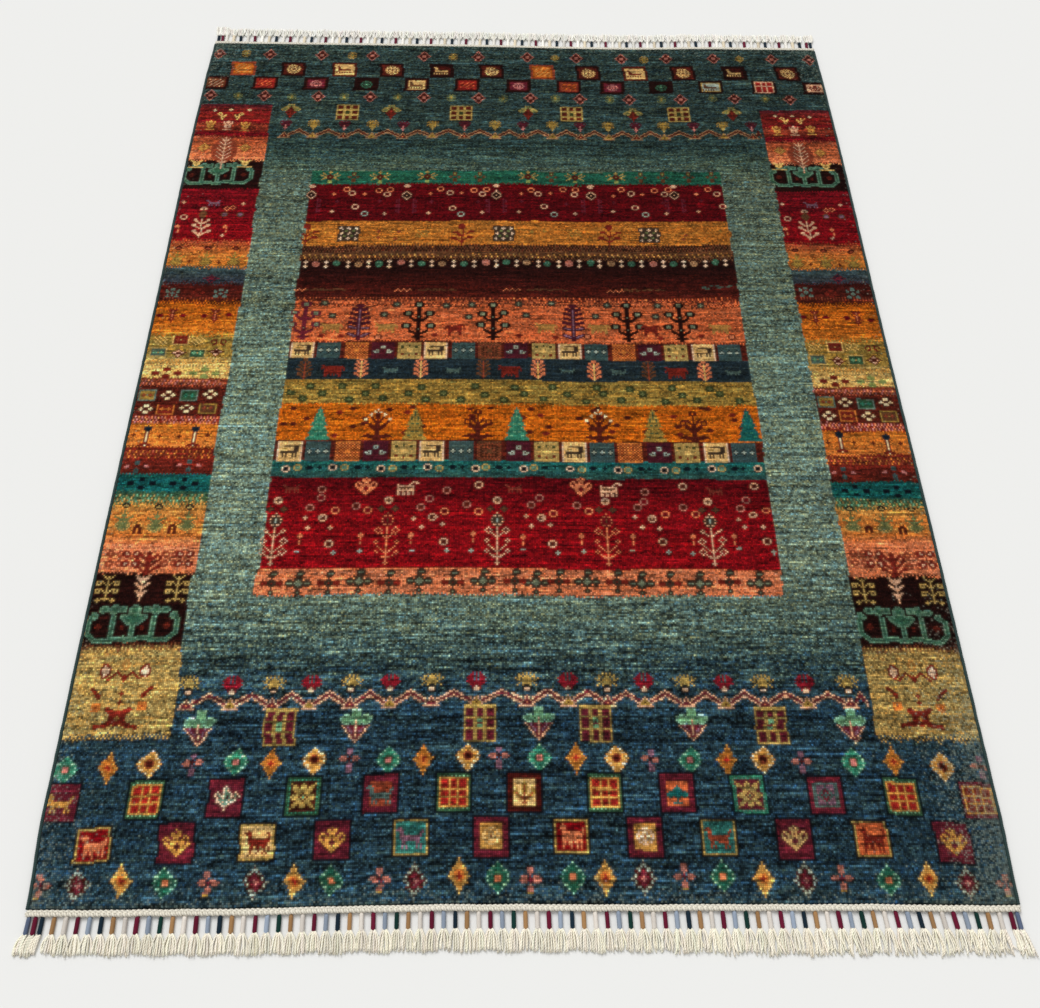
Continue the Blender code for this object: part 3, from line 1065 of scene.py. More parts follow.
        ("dot", "full", "b", 0, -2.2, 1.1, 1.0),
    ),
    "vase": (
        ("box", "full", "a", 0, 0.4, 5.0, 0.6),
        ("dot", "cased", "a", 0, 3.6, 2.4, 2.2),
        ("pair_line", "full", "a", 0.8, 5.0, 3.4, 7.0),
    ),
    "vase_flower": (
        ("box", "full", "a", 0, 0.4, 3.4, 0.6),
        ("dot", "full", "a", 0, 3.4, 2.5, 2.0),
        ("pair_line", "full", "a", 0.8, 4.6, 2.8, 7.4),
        ("pair_dot", "full", "a", 3.0, 8.4, 0.9, 1.3),
        ("dot", "full", "a", 0, 8.6, 1.1, 2.0),
        ("dot", "full", "b", 0, 3.4, 1.0, 0.9),
    ),
    "chevron_tree": (
        ("dot", "full", "b", 0, 17, 9.6, 14.0),
        ("line", "full", "a", 0, -3, 0, 31),
        ("pair_line", "full", "a", 0, 3, 3, 5),
        ("pair_line", "thin", "a", 0, 6, 5, 11),
        ("pair_line", "thin", "a", 0, 10, 5, 15),
        ("pair_line", "thin", "a", 0, 14, 5, 19),
        ("pair_line", "thin", "a", 0, 18, 4, 22),
        ("pair_line", "thin", "a", 0, 22, 4, 26),
        ("pair_line", "thin", "a", 0, 26, 3, 30),
    ),
    "gold_flower": (
        ("dot", "full", "a", 0, 4, 4.2, 4.2),
        ("dot", "beads", "b", 0, 4, 4.2, 4.2),
        ("dot", "full", "b", 0, 4, 1.4, 1.4),
        ("dot", "full", "a", 0, 4, 0.6, 0.6),
    ),
    "small_life_tree": (
        ("line", "thin", "a", 0, 0, 0, 19),
        ("pair_line", "thin", "a", 0, 2, 3.8, 5.0),
        ("pair_line", "thin", "a", 0, 8, 3.8, 11.0),
        ("pair_line", "thin", "a", 0, 13, 3.8, 16.0),
        ("pair_dot", "edge", "a", 5.2, 6.4, 1.6, 1.6),
        ("pair_dot", "edge", "a", 5.2, 12.4, 1.6, 1.6),
        ("pair_dot", "edge", "a", 4.6, 17.4, 1.4, 1.4),
        ("diamond", "full", "c", 0, 23.0, 3.6, 4.8),
        ("dot", "full", "b", 0, 23.0, 2.0, 2.4),
        ("dot", "full", "a", 0, 28.6, 2.2, 1.6),
        ("dot", "full", "b", 0, 28.6, 1.1, 0.8),
    ),
    "spread_bird": (
        ("pair_line", "wide", "a", 0, 7, 6, 4),
        ("pair_line", "thick", "a", 6, 4, 10.4, 3),
        ("pair_line", "wide", "a", 0, 9, 5.6, 13),
        ("dot", "full", "a", 0, 8, 4.2, 4.4),
        ("dot", "full", "b", 0, 8, 1.4, 1.4),
        ("line", "full", "b", 0, 13, 0, 24),
        ("dot", "full", "a", 0, 17, 1.0, 1.0),
        ("dot", "full", "a", 0, 22, 1.0, 1.4),
        ("pair_dot", "full", "c", 12, 15, 2.9, 2.9),
        ("pair_dot", "full", "a", 12, 15, 0.9, 0.9),
        ("pair_line", "thick", "a", 11.4, 21, 15.4, 25.4),
        ("dot", "full", "a", 0, 32, 1.7, 2.0),
        ("pair_line", "full", "a", 0, 31, 4.0, 35.6),
        ("pair_line", "thin", "a", 4.4, 35, 9.0, 30.6),
        ("pair_dot", "full", "a", 10.6, 36, 3.0, 4.6),
        ("pair_dot", "full", "d", 10.6, 36, 1.7, 3.1),
        ("dot", "edge", "b", 0, 40, 2.2, 3.6),
    ),
}

LINE_WIDTHS = {"core": 1.1, "thin": 1.0, "full": 1.6, "thick": 2.4, "wide": 3.1, "cased": 3.0}
CASING = 1.5


def dye(name):
    return np.array(DYES[name]) / 255


def smooth_noise(count, step, source):
    """A row of noise whose waves are about step apart, from -1 to 1."""
    knots = source.uniform(-1, 1, int(count / step) + 3)
    at = np.arange(count) / step
    low = at.astype(int)
    t = at - low
    t = t * t * (3 - 2 * t)
    return knots[low] * (1 - t) + knots[low + 1] * t


def streaks(step):
    """Noise for the whole cloth that runs along the rows."""
    return np.array([smooth_noise(KNOTS, step, rng) for _ in range(ROWS)])


def inside(shape, dx, dy, a, b):
    """How far out a knot is in a shape: 1 is on its edge and more is outside."""
    if shape == "box":
        return np.maximum(np.abs(dx) / a, np.abs(dy) / b)
    if shape == "diamond":
        return np.abs(dx) / a + np.abs(dy) / b
    if shape == "triangle":
        return np.where(dy < 0, 9.0, np.abs(dx) / a + dy / b)
    if shape == "wedge":
        return np.where((dy > b) | (dy < 0), 9.0, np.abs(dx) / (a * (0.12 + 0.88 * dy / b)))
    return np.sqrt((dx / a) ** 2 + (dy / b) ** 2)


def draw(cloth, shape, part, colour, x, y, a, b):
    """One shape in knots, painted over what is there."""
    if shape == "line":
        low_x, high_x = min(x, a) - 2, max(x, a) + 3
        low_y, high_y = min(y, b) - 2, max(y, b) + 3
    else:
        low_x, high_x = x - a - 1, x + a + 2
        low_y, high_y = y - b - 1, y + b + 2
    x0, x1 = max(int(low_x), 0), min(int(high_x) + 1, KNOTS)
    y0, y1 = max(int(low_y), 0), min(int(high_y) + 1, ROWS)
    if x0 >= x1 or y0 >= y1:
        return
    column, row = np.meshgrid(np.arange(x0, x1), np.arange(y0, y1))
    if shape == "line":
        along_x, along_y = a - x, b - y
        length = max(along_x**2 + along_y**2, 1e-6)
        t = np.clip(((column - x) * along_x + (row - y) * along_y) / length, 0, 1)
        mask = np.hypot(column - x - t * along_x, row - y - t * along_y) <= LINE_WIDTHS[part] / 2
    else:
        if part == "core":
            a, b = max(a - CASING, 0.5), max(b - CASING, 0.5)
        out = inside(shape, column - x, row - y, a, b)
        mask = out <= 1
        if part in ("edge", "beads"):
            mask &= out > 1 - 1.3 / min(a, b)
        if part == "beads":
            turn = row if shape == "diamond" else row + column
            mask &= (turn - y0) % 2 == 0
    cloth[y0:y1, x0:x1][mask] = colour


def stamp(cloth, name, colours, x, y):
    """A small picture about its middle."""
    rows = CHARTS[name]
    for up, line in enumerate(reversed(rows)):
        for across, letter in enumerate(line):
            row, column = y - len(rows) // 2 + up, x - len(line) // 2 + across
            if letter != "." and 0 <= row < ROWS and 0 <= column < KNOTS:
                cloth[row, column] = colours[letter]


def place(cloth, name, dyes, xs, y, stray=0.7):
    """A motif at each x. dyes are the yarns for its letters a, b, c, d and e."""
    colours = {letter: dye(word) for letter, word in zip("abcde", dyes.split())}
    for x in xs:
        at_x, at_y = round(x + rng.uniform(-stray, stray)), round(y + rng.uniform(-stray, stray))
        if name in CHARTS:
            stamp(cloth, name, colours, at_x, at_y)
            continue
        for inner in (False, True):
            for shape, part, letter, dx, dy, a, b in MOTIFS[name]:
                if inner and part != "cased":
                    continue
                kind = shape.removeprefix("pair_")
                colour = colours["b" if inner else letter]
                for sign in (1, -1) if kind != shape else (1,):
                    ends = (at_x + sign * a, at_y + b) if kind == "line" else (a, b)
                    draw(
                        cloth, kind, "core" if inner else part, colour, at_x + sign * dx, at_y + dy, *ends
                    )


def every(start, step, count):
    return [start + step * i for i in range(count)]


def cells(cloth, x, y, size, gap, ground, mark, middle):
    """Nine small cells on a ground, the middle one in its own yarn."""
    width, height = size
    pitch_x, pitch_y = width + gap, height + gap
    draw(cloth, "box", "full", dye(ground), x, y, 1.5 * pitch_x + gap / 2, 1.5 * pitch_y + gap / 2)
    for i in (-1, 0, 1):
        for j in (-1, 0, 1):
            yarn = middle if i == j == 0 else mark
            at_x, at_y = x + i * pitch_x, y + j * pitch_y
            draw(cloth, "box", "full", dye(yarn), at_x, at_y, width / 2, height / 2)


def band_colours(bands, top):
    """A colour for each row, and how far knots stray from their row to mix the stripes."""
    colours, mixing = np.zeros((ROWS, 3)), np.zeros(ROWS)
    ends = [band[0] for band in bands[1:]] + [top]
    for (first, low, high, mix), last in zip(bands, ends):
        t = (np.arange(first, last) - first) / (last - first)
        colours[first:last] = dye(low) + (dye(high) - dye(low)) * t[:, None]
        mixing[max(first - mix, 0) : first + mix] = mix
    return colours, mixing


def drop_at(drops, row):
    rows, sizes = zip(*drops)
    return np.interp(row, rows, sizes)


def lay_bands(cloth, bands, top, left, right, drops):
    """Stripes between two columns, with wandering edges and mixed borders."""
    colours, mixing = band_colours(bands, top)
    first = bands[0][0]
    row, column = np.mgrid[0:ROWS, 0:KNOTS]
    wander = 0.8 * smooth_noise(KNOTS, 47, rng) + 0.4 * smooth_noise(KNOTS, 11, rng)
    at = row + drop_at(drops, row) + wander[None, :]
    near = np.clip(at.round().astype(int), 0, ROWS - 1)
    tooth = np.where((column + row // 2) % 2 == 0, 1.0, -1.0)
    at = at + tooth * mixing[near] * rng.uniform(0.1, 1.0, (ROWS, KNOTS))
    left_edge = left + 0.8 * smooth_noise(ROWS, 41, rng) + 0.4 * smooth_noise(ROWS, 5, rng)
    right_edge = right + 0.8 * smooth_noise(ROWS, 41, rng) + 0.4 * smooth_noise(ROWS, 5, rng)
    if left <= 0:
        left_edge[:] = -1
    if right >= KNOTS:
        right_edge[:] = KNOTS + 1
    mask = (column >= left_edge[:, None]) & (column < right_edge[:, None])
    mask &= (at >= first) & (at < top)
    cloth[mask] = colours[np.clip(at.astype(int), first, top - 1)][mask]


def framed(cloth, x, y, frame, picture, picture_dyes):
    """A square with a picture in it. A picture named cells is a block of nine."""
    shape, dyes = frame.split(maxsplit=1)
    place(cloth, shape, dyes, [x], y, 0)
    if picture == "cells":
        cells(cloth, x, y, (3.4, 3.6), 1.1, *picture_dyes.split())
    else:
        place(cloth, picture, picture_dyes, [x], y, 0)


WINE = "wine_square ink burgundy burgundy"
GREEN = "green_square ink leaf fern gold"
SHEET = "sheet_square ink hay"
RED_CELLS = ("cells", "gold red red")
# Squares of the near end's upper row
# columns: knot, shape and dyes of the square, picture, dyes of the picture
NEAR_UPPER_SQUARES = (
    (5, WINE, "llama", "gold"),
    (47, GREEN, *RED_CELLS),
    (88, WINE, "leaf_flower", "lace reed wine"),
    (127, "green_square ink leaf jade maroon", "star", "hay jade"),
    (166, "wine_square ink burgundy rust", "llama", "steel"),
    (203, GREEN, *RED_CELLS),
    (239, "wine_square ink maroon sand", "tulip", "olive rust"),
    (280, GREEN, *RED_CELLS),
    (317, "wine_square ink burgundy coral", "round_tree", "teal"),
    (354, "green_square ink jade reed burgundy", "star", "khaki steel"),
    (394, "wine_square ink burgundy mauve", "lattice", "steel burgundy"),
    (433, GREEN, *RED_CELLS),
    (472, WINE, "cells", "gold brick brick"),
)
# Squares of the near end's lower row, with the same columns
NEAR_LOWER_SQUARES = (
    (25, SHEET + " crimson", "goat", "salmon"),
    (66, WINE, "palmette", "gold burgundy"),
    (106, SHEET + " sand", "goat", "brick"),
    (143, WINE, "palmette", "gold burgundy"),
    (182, SHEET + " lagoon", "llama", "mauve"),
    (222, "wine_square ink burgundy gold", "small_rosette", "sand brick"),
    (262, SHEET + " crimson", "goat", "salmon"),
    (299, "wine_square ink burgundy gold", "small_rosette", "lace brick"),
    (336, SHEET + " lagoon", "llama", "rust"),
    (374, WINE, "palmette", "sand burgundy"),
    (413, SHEET + " coral", "goat", "brick"),
    (454, WINE, "palmette", "gold burgundy"),
)
DARK_ROSETTE = ("far_square soot umber umber", "rosette", "sand rust")
# Squares of the far end's upper row, with the same columns
FAR_UPPER_SQUARES = (
    (25, "far_square rust flame amber", "freckles", "flame gold"),
    (64, *DARK_ROSETTE),
    (104, "far_square umber sand sand", "far_beast", "brick"),
    (141, *DARK_ROSETTE),
    (180, "far_square soot soot maroon", "far_beast", "sand"),
    (219, *DARK_ROSETTE),
    (259, "far_square rust flame amber", "freckles", "flame gold"),
    (295, *DARK_ROSETTE),
    (332, "far_square umber sand sand", "far_beast", "brick"),
    (370, *DARK_ROSETTE),
    (411, "far_square soot soot maroon", "far_beast", "sand"),
    (453, *DARK_ROSETTE),
)
# Squares of the far end's lower row, with the same columns
FAR_LOWER_SQUARES = (
    (6, "far_square soot umber brown", "freckles", "blush rust"),
    (44, "far_square soot brick red", "freckles", "brick coral"),
    (83, "far_square soot maroon burgundy", "small_rosette", "rose maroon"),
    (122, "far_square soot soot soot", "small_rosette", "thicket fern"),
    (161, "far_square soot umber sand", "far_beast", "brown"),
    (200, "far_square soot brick red", "freckles", "brick coral"),
    (240, "far_square soot maroon burgundy", "small_rosette", "rose maroon"),
    (279, "far_square soot brick rust", "freckles", "brick flame"),
    (313, "far_square soot maroon burgundy", "small_rosette", "rose maroon"),
    (351, "far_square soot soot soot", "small_rosette", "thicket fern"),
    (390, "far_square soot khaki mist", "far_beast", "brown"),
    (432, "far_square soot brick red", "cells", "blush red red"),
    (472, "far_square soot maroon blush", "small_rosette", "brick rust"),
)
NEAR_GEMS = (
    ("clover", "petal petal burgundy olive"),
    ("gem", "mist maroon burgundy rose"),
    ("slim_gem", "gold amber red straw"),
    ("green_gem", "mint emerald leaf salmon"),
)
NEAR_GEM_KNOTS = (2, 20, 41, 62, 84, 105, 125, 143, 166, 185, 206, 225)
MIRRORED_GEM_KNOTS = (477, 458, 438, 417, 396, 376, 356, 336, 317, 297, 278, 262, 241)
UPPER_GEMS = (
    ("green_gem", "mint jade leaf rose"),
    ("slim_gem", "ochre amber red gold"),
    ("green_gem", "cream gold rust maroon"),
    ("clover", "petal mauve maroon mauve"),
)
UPPER_GEM_KNOTS = (
    *(5, 26, 47, 69, 91, 110, 130, 149, 170, 188, 210, 227),
    *(247, 267, 287, 305, 325, 344, 364, 384, 410, 432, 457, 477),
)
NEAR_VINE_FEET = (60, 83, 105, 125, 147, 168, 190, 214, 241, 263, 284, 304, 326, 347, 368, 391, 414)
FAR_VINE_FEET = (66, 87, 110, 131, 154, 176, 200, 223, 244, 266, 287, 308, 329, 350, 373, 395, 417)


def paint_end_panels(cloth):
    """Gems, squares, vines, plants and blocks at both ends of the rug."""
    for knots in (NEAR_GEM_KNOTS, MIRRORED_GEM_KNOTS):
        for i, x in enumerate(knots):
            name, dyes = NEAR_GEMS[i % 4]
            place(cloth, name, dyes, [x], 13, 0.9)
    for i, x in enumerate(UPPER_GEM_KNOTS):
        name, dyes = UPPER_GEMS[i % 4]
        place(cloth, name, dyes, [x], 71.5, 0.9)
    for y, squares in (
        (54, NEAR_UPPER_SQUARES),
        (32, NEAR_LOWER_SQUARES),
        (644, FAR_UPPER_SQUARES),
        (626, FAR_LOWER_SQUARES),
    ):
        for x, *look in squares:
            framed(cloth, x, y, *look)
    paint_vine(cloth, NEAR_VINE_FEET, 102, "blush", "burgundy", ("sprout", "crown"))
    place(cloth, "club_plant", "fern mint burgundy mauve blush", (69, 151, 247, 328, 413), 82, 0.4)
    for x in (111, 216, 277, 370):
        cells(cloth, x, 91.2, (3.9, 5.6), 1.2, "hay", "burgundy", "fern")
        draw(cloth, "dot", "full", dye("burgundy"), x, 91.2, 1.2, 1.2)

    place(cloth, "small_gem", "petal maroon petal", (4, 44, 85, 125, 166, 209, 248), 662, 0.4)
    place(cloth, "small_gem", "petal maroon petal", (287, 323, 359, 397, 444, 474), 662, 0.4)
    place(cloth, "small_gem", "petal maroon petal", (5, 46, 87, 127, 168, 210, 250), 610, 0.4)
    place(cloth, "small_gem", "petal maroon petal", (288, 326, 366, 408, 451), 610, 0.4)
    place(cloth, "faint_gem", "olive lichen", (25, 108, 188, 270, 341, 419), 662)
    place(cloth, "faint_gem", "lichen olive", every(26, 40.6, 11), 610)
    paint_vine(cloth, FAR_VINE_FEET, 562, "fawn", "umber", ("far_crown", "far_sprout"))
    place(cloth, "pale_plant", "hay lichen umber brick", (68, 144, 248, 329, 404), 582)
    for x in (111, 197, 281, 363):
        cells(cloth, x, 591.5, (3.9, 4.7), 1.2, "hay", "umber", "bottle")


FLOWER_DYES = {
    "sprout": "hay ink lace",
    "crown": "scarlet lace",
    "far_sprout": "olive hay ink",
    "far_crown": "wine rose",
}


def paint_vine(cloth, feet, y, outline, heart, flowers):
    """The zigzag vine across the plain ground, with a gable and a flower at each foot."""
    for i, foot in enumerate(feet):
        after = feet[i + 1] if i + 1 < len(feet) else RIGHT_BORDER
        peak = (foot + after) / 2
        for shift, yarn, part in ((-1.5, outline, "thin"), (1.5, outline, "thin"), (0, heart, "full")):
            low, high = y + 3 + shift, y + 8.4 + shift
            draw(cloth, "line", part, dye(yarn), foot + 3, low, peak, high)
            draw(cloth, "line", part, dye(yarn), peak, high, after - 3, low)
    for i, foot in enumerate(feet):
        dyes = f"{outline} {heart} salmon" if i % 2 == 0 else f"{outline} olive maroon"
        place(cloth, "gable", dyes, [foot], y, 0.3)
        place(cloth, flowers[i % 2], FLOWER_DYES[flowers[i % 2]], [foot], y + 15, 0.3)


TILE_CYCLE = (
    ("hook_tile", "sand bark lace olive"),
    ("dot_tile", "slate mist ink steel"),
    ("freckle_tile", "amber rust brick"),
    ("flower_tile", "wine mist maroon"),
    ("bud_tile", "khaki bottle brick straw"),
)


def paint_tile_row(cloth, y):
    """Small squares side by side across the field, in a cycle of five."""
    for i in range(17):
        name, dyes = TILE_CYCLE[i % len(TILE_CYCLE)]
        if name == "freckle_tile" and i % 2:
            dyes = "brown rust maroon"
        place(cloth, name, dyes, [99.0 + 17.3 * i], y, 0.2)


def paint_field(cloth):
    """Bands of the middle field, from the near end."""
    flowers = (99, 114, 131, 148, 165, 182, 201, 218, 236, 248, 261, 277, 294, 308, 324, 341, 358, 375)
    place(cloth, "cross_flower", "bark drab brick", flowers[1::2], 180.5, 0.5)
    place(cloth, "red_cross", "bark drab brick", flowers[::2], 180.5, 0.5)

    trees = (96, 161, 225, 289, 350)
    place(cloth, "life_tree", "blush bark mist", trees[::2], 192, 0.4)
    place(cloth, "life_tree", "salmon garnet brown", trees[1::2], 192, 0.4)
    place(cloth, "tree_heads", "blush bark brown", trees, 230, 0.4)
    for tree in trees:
        place(cloth, "ring", "petal umber", [tree + 20, tree + 46], 232, 1.4)
        place(cloth, "ring", "salmon garnet", [tree + 34, tree + 53], 228, 1.4)
        place(cloth, "big_ring", "blush umber", [tree + 26], 225, 0.8)
        place(cloth, "star_dot", "blush", [tree + 16, tree + 27], 224, 1.4)
        place(cloth, "ring", "petal garnet", [tree + 24], 237, 1.2)
        place(cloth, "star_dot", "blush", [tree + 20, tree + 32], 218, 1.0)
        place(cloth, "seed", "salmon", [tree + 14, tree + 50], 210, 0.8)
        place(cloth, "big_ring", "blush umber", [tree + 32], 207, 0.8)
        place(cloth, "star_dot", "mist", [tree + 35, tree + 49], 200.5, 0.8)
        place(cloth, "dab", "mist", [tree + 15], 202, 0.8)
    place(cloth, "kid", "russet", (103, 235, 355), 244, 0.6)
    place(cloth, "white_beast", "blush brown", (172, 293), 245, 0.4)
    place(cloth, "palmette", "salmon garnet", (147, 275), 246, 0.4)
    place(cloth, "ring", "petal umber", (122, 194, 313), 243, 0.8)
    place(cloth, "ring", "blush umber", (215, 336, 378), 247, 0.8)

    place(cloth, "ring", "lace ink", every(98, 28.5, 11), 259.5, 0.4)
    place(cloth, "ring", "hay reed", every(104.6, 28.5, 10), 259.5, 0.4)
    place(cloth, "blob", "ink", every(112, 28.5, 10), 260, 0.4)
    place(cloth, "small_blob", "ink", every(118.2, 28.5, 10), 260, 0.4)
    paint_tile_row(cloth, 272)

    for y, dyes, start, step in (
        (305, "umber", 99, 37.0),
        (301, "brick", 128, 41.0),
        (292, "umber", 101, 39.5),
        (286, "brick", 124, 43.0),
        (306, "maroon", 157, 66.0),
        (297, "umber", 109, 33.0),
        (289, "umber", 136, 36.5),
    ):
        place(cloth, "blob", dyes, every(start, step, int((FIELD_RIGHT - start) / step) + 1), y, 2.0)
    place(cloth, "oak", "umber cream", (151, 288), 281, 0.4)
    place(cloth, "red_tree", "umber flame", (213, 347), 281, 0.4)
    place(cloth, "cypress", "jade fern", (115, 237), 281, 0.4)
    place(cloth, "cypress", "olive leaf", (174, 322), 281, 0.4)
    place(cloth, "cypress", "teal jade", (381,), 281, 0.4)
    place(cloth, "blob", "umber", (92,), 293)

    place(cloth, "cased_blob", "bottle lichen", (104, 132, 153, 180, 202, 229, 254, 281, 303, 330, 352, 378), 313, 0.7)
    place(cloth, "cased_blob", "bottle lichen", (95, 116, 142, 169, 191, 217, 242, 268, 292, 316, 341, 366), 318, 0.7)
    place(cloth, "cased_blob", "bottle lichen", (107, 127, 148, 177, 210, 236, 261, 288, 309, 336, 360), 323.5, 0.7)

    place(cloth, "leaf_tree", "salmon straw", (138, 176, 251, 287, 358), 330.5, 0.4)
    place(cloth, "leaf_tree", "brown rust", (102, 216, 322), 330.5, 0.4)
    place(cloth, "ox", "brick", (120, 233, 340), 336, 0.4)
    place(cloth, "long_beast", "steel", (157, 197, 270, 303, 377), 337, 0.4)
    paint_tile_row(cloth, 353)

    place(cloth, "branch_tree", "soot drab", (173, 222, 311, 346), 364, 0.4)
    place(cloth, "branch_tree", "burgundy drab", (97,), 364)
    place(cloth, "fir", "wine mauve", (134, 275), 364, 0.3)
    place(cloth, "ox", "bronze", (117, 152, 257, 292, 372), 374, 0.6)
    place(cloth, "horse", "brick", (197, 327), 373)
    place(cloth, "cased_blob", "bark drab", (109, 157, 190, 208, 240, 262, 297, 333, 362), 395, 0.8)
    place(cloth, "cased_blob", "bark drab", (116, 151, 205, 245, 290, 330), 385, 0.8)
    place(cloth, "blob", "brick", (110, 123, 185, 238, 262, 332, 360), 367, 1.2)
    place(cloth, "ring", "umber salmon", (147, 284, 380), 366, 0.8)

    place(cloth, "squiggle", "salmon", (92, 162, 235, 305), 408, 0.3)
    for start in (98, 172, 246, 312):
        place(cloth, "dab", "brown", every(start, 2.2, 12), 408.5, 0.9)
    place(cloth, "dab", "pine", every(366, 2.4, 8), 410, 1.4)

    place(cloth, "bead_pair", "lace lace", every(94, 14.4, 21), 432, 0.3)
    place(cloth, "bead", "petal rust", every(101.2, 57.6, 5), 432.4, 0.3)
    place(cloth, "bead", "fawn brown", every(130.0, 57.6, 5), 432.4, 0.3)
    place(cloth, "bead", "thicket reed", every(115.6, 28.8, 10), 432.4, 0.3)

    place(cloth, "checker", "bark lace lichen", (121, 229, 331), 460.5, 0.4)
    place(cloth, "sprig", "brick", (92, 200, 303), 450.5, 0.4)
    place(cloth, "star_dot", "rust", (141, 154, 357), 462, 1.6)
    place(cloth, "star_dot", "rust", (142, 153, 356), 457, 1.6)
    place(cloth, "hatch", "olive", (172, 278), 461)
    place(cloth, "star_dot", "olive", (250, 258, 380), 462, 1.6)

    heads = (92, 160, 225, 291, 352)
    place(cloth, "ghost_tree", "bark blush soot burgundy", heads, 500, 0.6)
    for head in heads:
        place(cloth, "ring", "salmon claret", [head + 24, head + 48, head + 57], 505.5, 1.0)
        place(cloth, "ring", "blush claret", [head + 30, head + 54], 501, 1.0)
        place(cloth, "star_dot", "salmon", [head + 16, head + 39], 501, 1.0)
        place(cloth, "ring", "blush claret", [head + 33], 487, 1.4)
        place(cloth, "small_blob", "blush", [head + 16, head + 54], 482.5, 1.2)
        place(cloth, "ring", "mist claret", [head + 39], 480.5, 0.8)
        place(cloth, "star_dot", "burgundy", [head + 18, head + 50], 492, 2.0)
    place(cloth, "bloom", "umber hay lime", (104, 140, 174, 247, 281, 311), 519, 0.4)
    place(cloth, "dim_bloom", "brown lime", (121, 194, 212, 264, 329, 345, 364, 381), 519, 0.4)


def paint_side(cloth, middle, drops):
    """Motifs of one side border, about its middle column."""

    def put(name, dyes, offsets, y, stray=0.5):
        place(cloth, name, dyes, [middle + x for x in offsets], y - drop_at(drops, y), stray)

    put("spread_bird", "brick bronze amber lace", (-2,), 91)
    put("scroll", "reed thicket umber", (-2,), 146)
    put("pale_tree", "khaki", (-19, 20), 168)
    put("pink_tree", "blush brick", (0,), 169)
    put("ring_block", "rust salmon", (-19, 12), 195)
    put("ring_block", "brick blush", (-10, 20), 195)
    put("green_tree", "lichen khaki ink khaki", (-19, 0, 18), 213.5)
    put("gate", "umber", (-10, 10), 216)
    put("dark_dots", "ink", (-13, 12), 247)
    put("grey_dots", "slate rose", (-18, 13), 260.5)
    put("column", "brick cream navy", (-16, 13), 275.5)
    put("small_blob", "umber", (-24, -8, 4, 21), 283.5)
    put("small_square", "haze olive rust", (-20.5,), 315.5)
    put("small_square", "haze leaf jade", (5,), 315.5)
    put("four_dots", "cream", (-8, 18), 316)
    put("small_square", "amber brick amber", (-8,), 304.5)
    put("small_square", "olive brown rust", (18,), 304.5)
    put("four_dots", "cream", (-20, 5), 304.5)
    put("wide_dots", "brick", (-12,), 334.5)
    put("wide_dots", "lime", (12,), 334.5)
    put("small_square", "khaki pine fern", (-20.5,), 350.5)
    put("small_square", "khaki leaf fern", (5,), 350.5)
    put("cross_tile", "umber blush", (-7, 17), 350.5)
    put("hatch", "straw", (-20, 4), 360.5)
    put("small_square", "straw brick rust", (-7,), 361)
    put("curls", "garnet", (18,), 360)
    put("figure", "brick salmon", (-16, 12), 383)
    put("blob", "garnet", (-24, -9, 5, 21), 383)
    put("five_dots", "haze", (-19, 13), 403)
    put("four_dots", "brick", (-2,), 403)
    put("cross_tile", "burgundy navy", (5,), 417)
    put("green_tree", "olive brown maroon rust", (-21, -1, 18), 429)
    put("small_blob", "umber", (-12, 8), 432.5)
    put("small_life_tree", "blush brown brown", (-9,), 457, 0.3)
    put("kid", "mauve", (-3,), 493)
    put("double_ring", "salmon garnet", (9,), 486)
    put("big_ring", "brown mauve", (17,), 480)
    put("ring", "brown mauve", (6,), 480)
    put("seed", "salmon", (-25, 8), 466)
    put("ring", "blush garnet", (-22,), 477)
    put("star_dot", "blush", (18, -24), 492)
    put("small_blob", "blush", (7, -9), 459)
    put("scroll", "reed thicket umber", (-4,), 512)
    put("vase", "straw olive", (-21, 14), 529.5)
    put("chevron_tree", "blush rust", (-3,), 530)
    put("gold_flower", "gold rust", (-18, 12), 546)
    put("vase_flower", "gold brick", (-17, 9), 570)
    put("vase_flower", "blush brick", (-4,), 570)
    put("spray_left", "straw", (-11,), 587)
    put("spray_right", "straw", (4,), 587)
    put("star_dot", "cream", (-4, 9, -15), 593, 1.0)


def dotted_rows(cloth, left, right, rows, dyes):
    """Rows of single knots in turn, like a fine beading."""
    colours = [dye(word) for word in dyes.split()]
    for row in rows:
        for column in range(left, right):
            if row % 2 == 0 and (column + row // 2) % 2 == 0 and rng.random() < 0.9:
                cloth[row : row + 2, column] = colours[(column // 2 + row) % len(colours)]


def lay_ground():
    """The plain ground, where each knot strays along the change from dye to dye."""
    rows = [row for row, _ in GROUND]
    dyes = np.array([dye(word) for _, word in GROUND])
    row = np.arange(ROWS)[:, None]
    stray = np.interp(row, *zip(*GROUND_STRAY))
    at = row + stray * (rng.normal(0, 0.75, (ROWS, KNOTS)) + 0.7 * streaks(14))
    return np.stack([np.interp(at, rows, dyes[:, i]) for i in range(3)], axis=2)


# How lively the dye is along the rows and from knot to knot
# columns: share of the streaks, share from knot to knot
GROUND_LIFE = (1.0, 1.7)
BAND_LIFE = (0.9, 1.2)
MOTIF_LIFE = (0.55, 0.75)


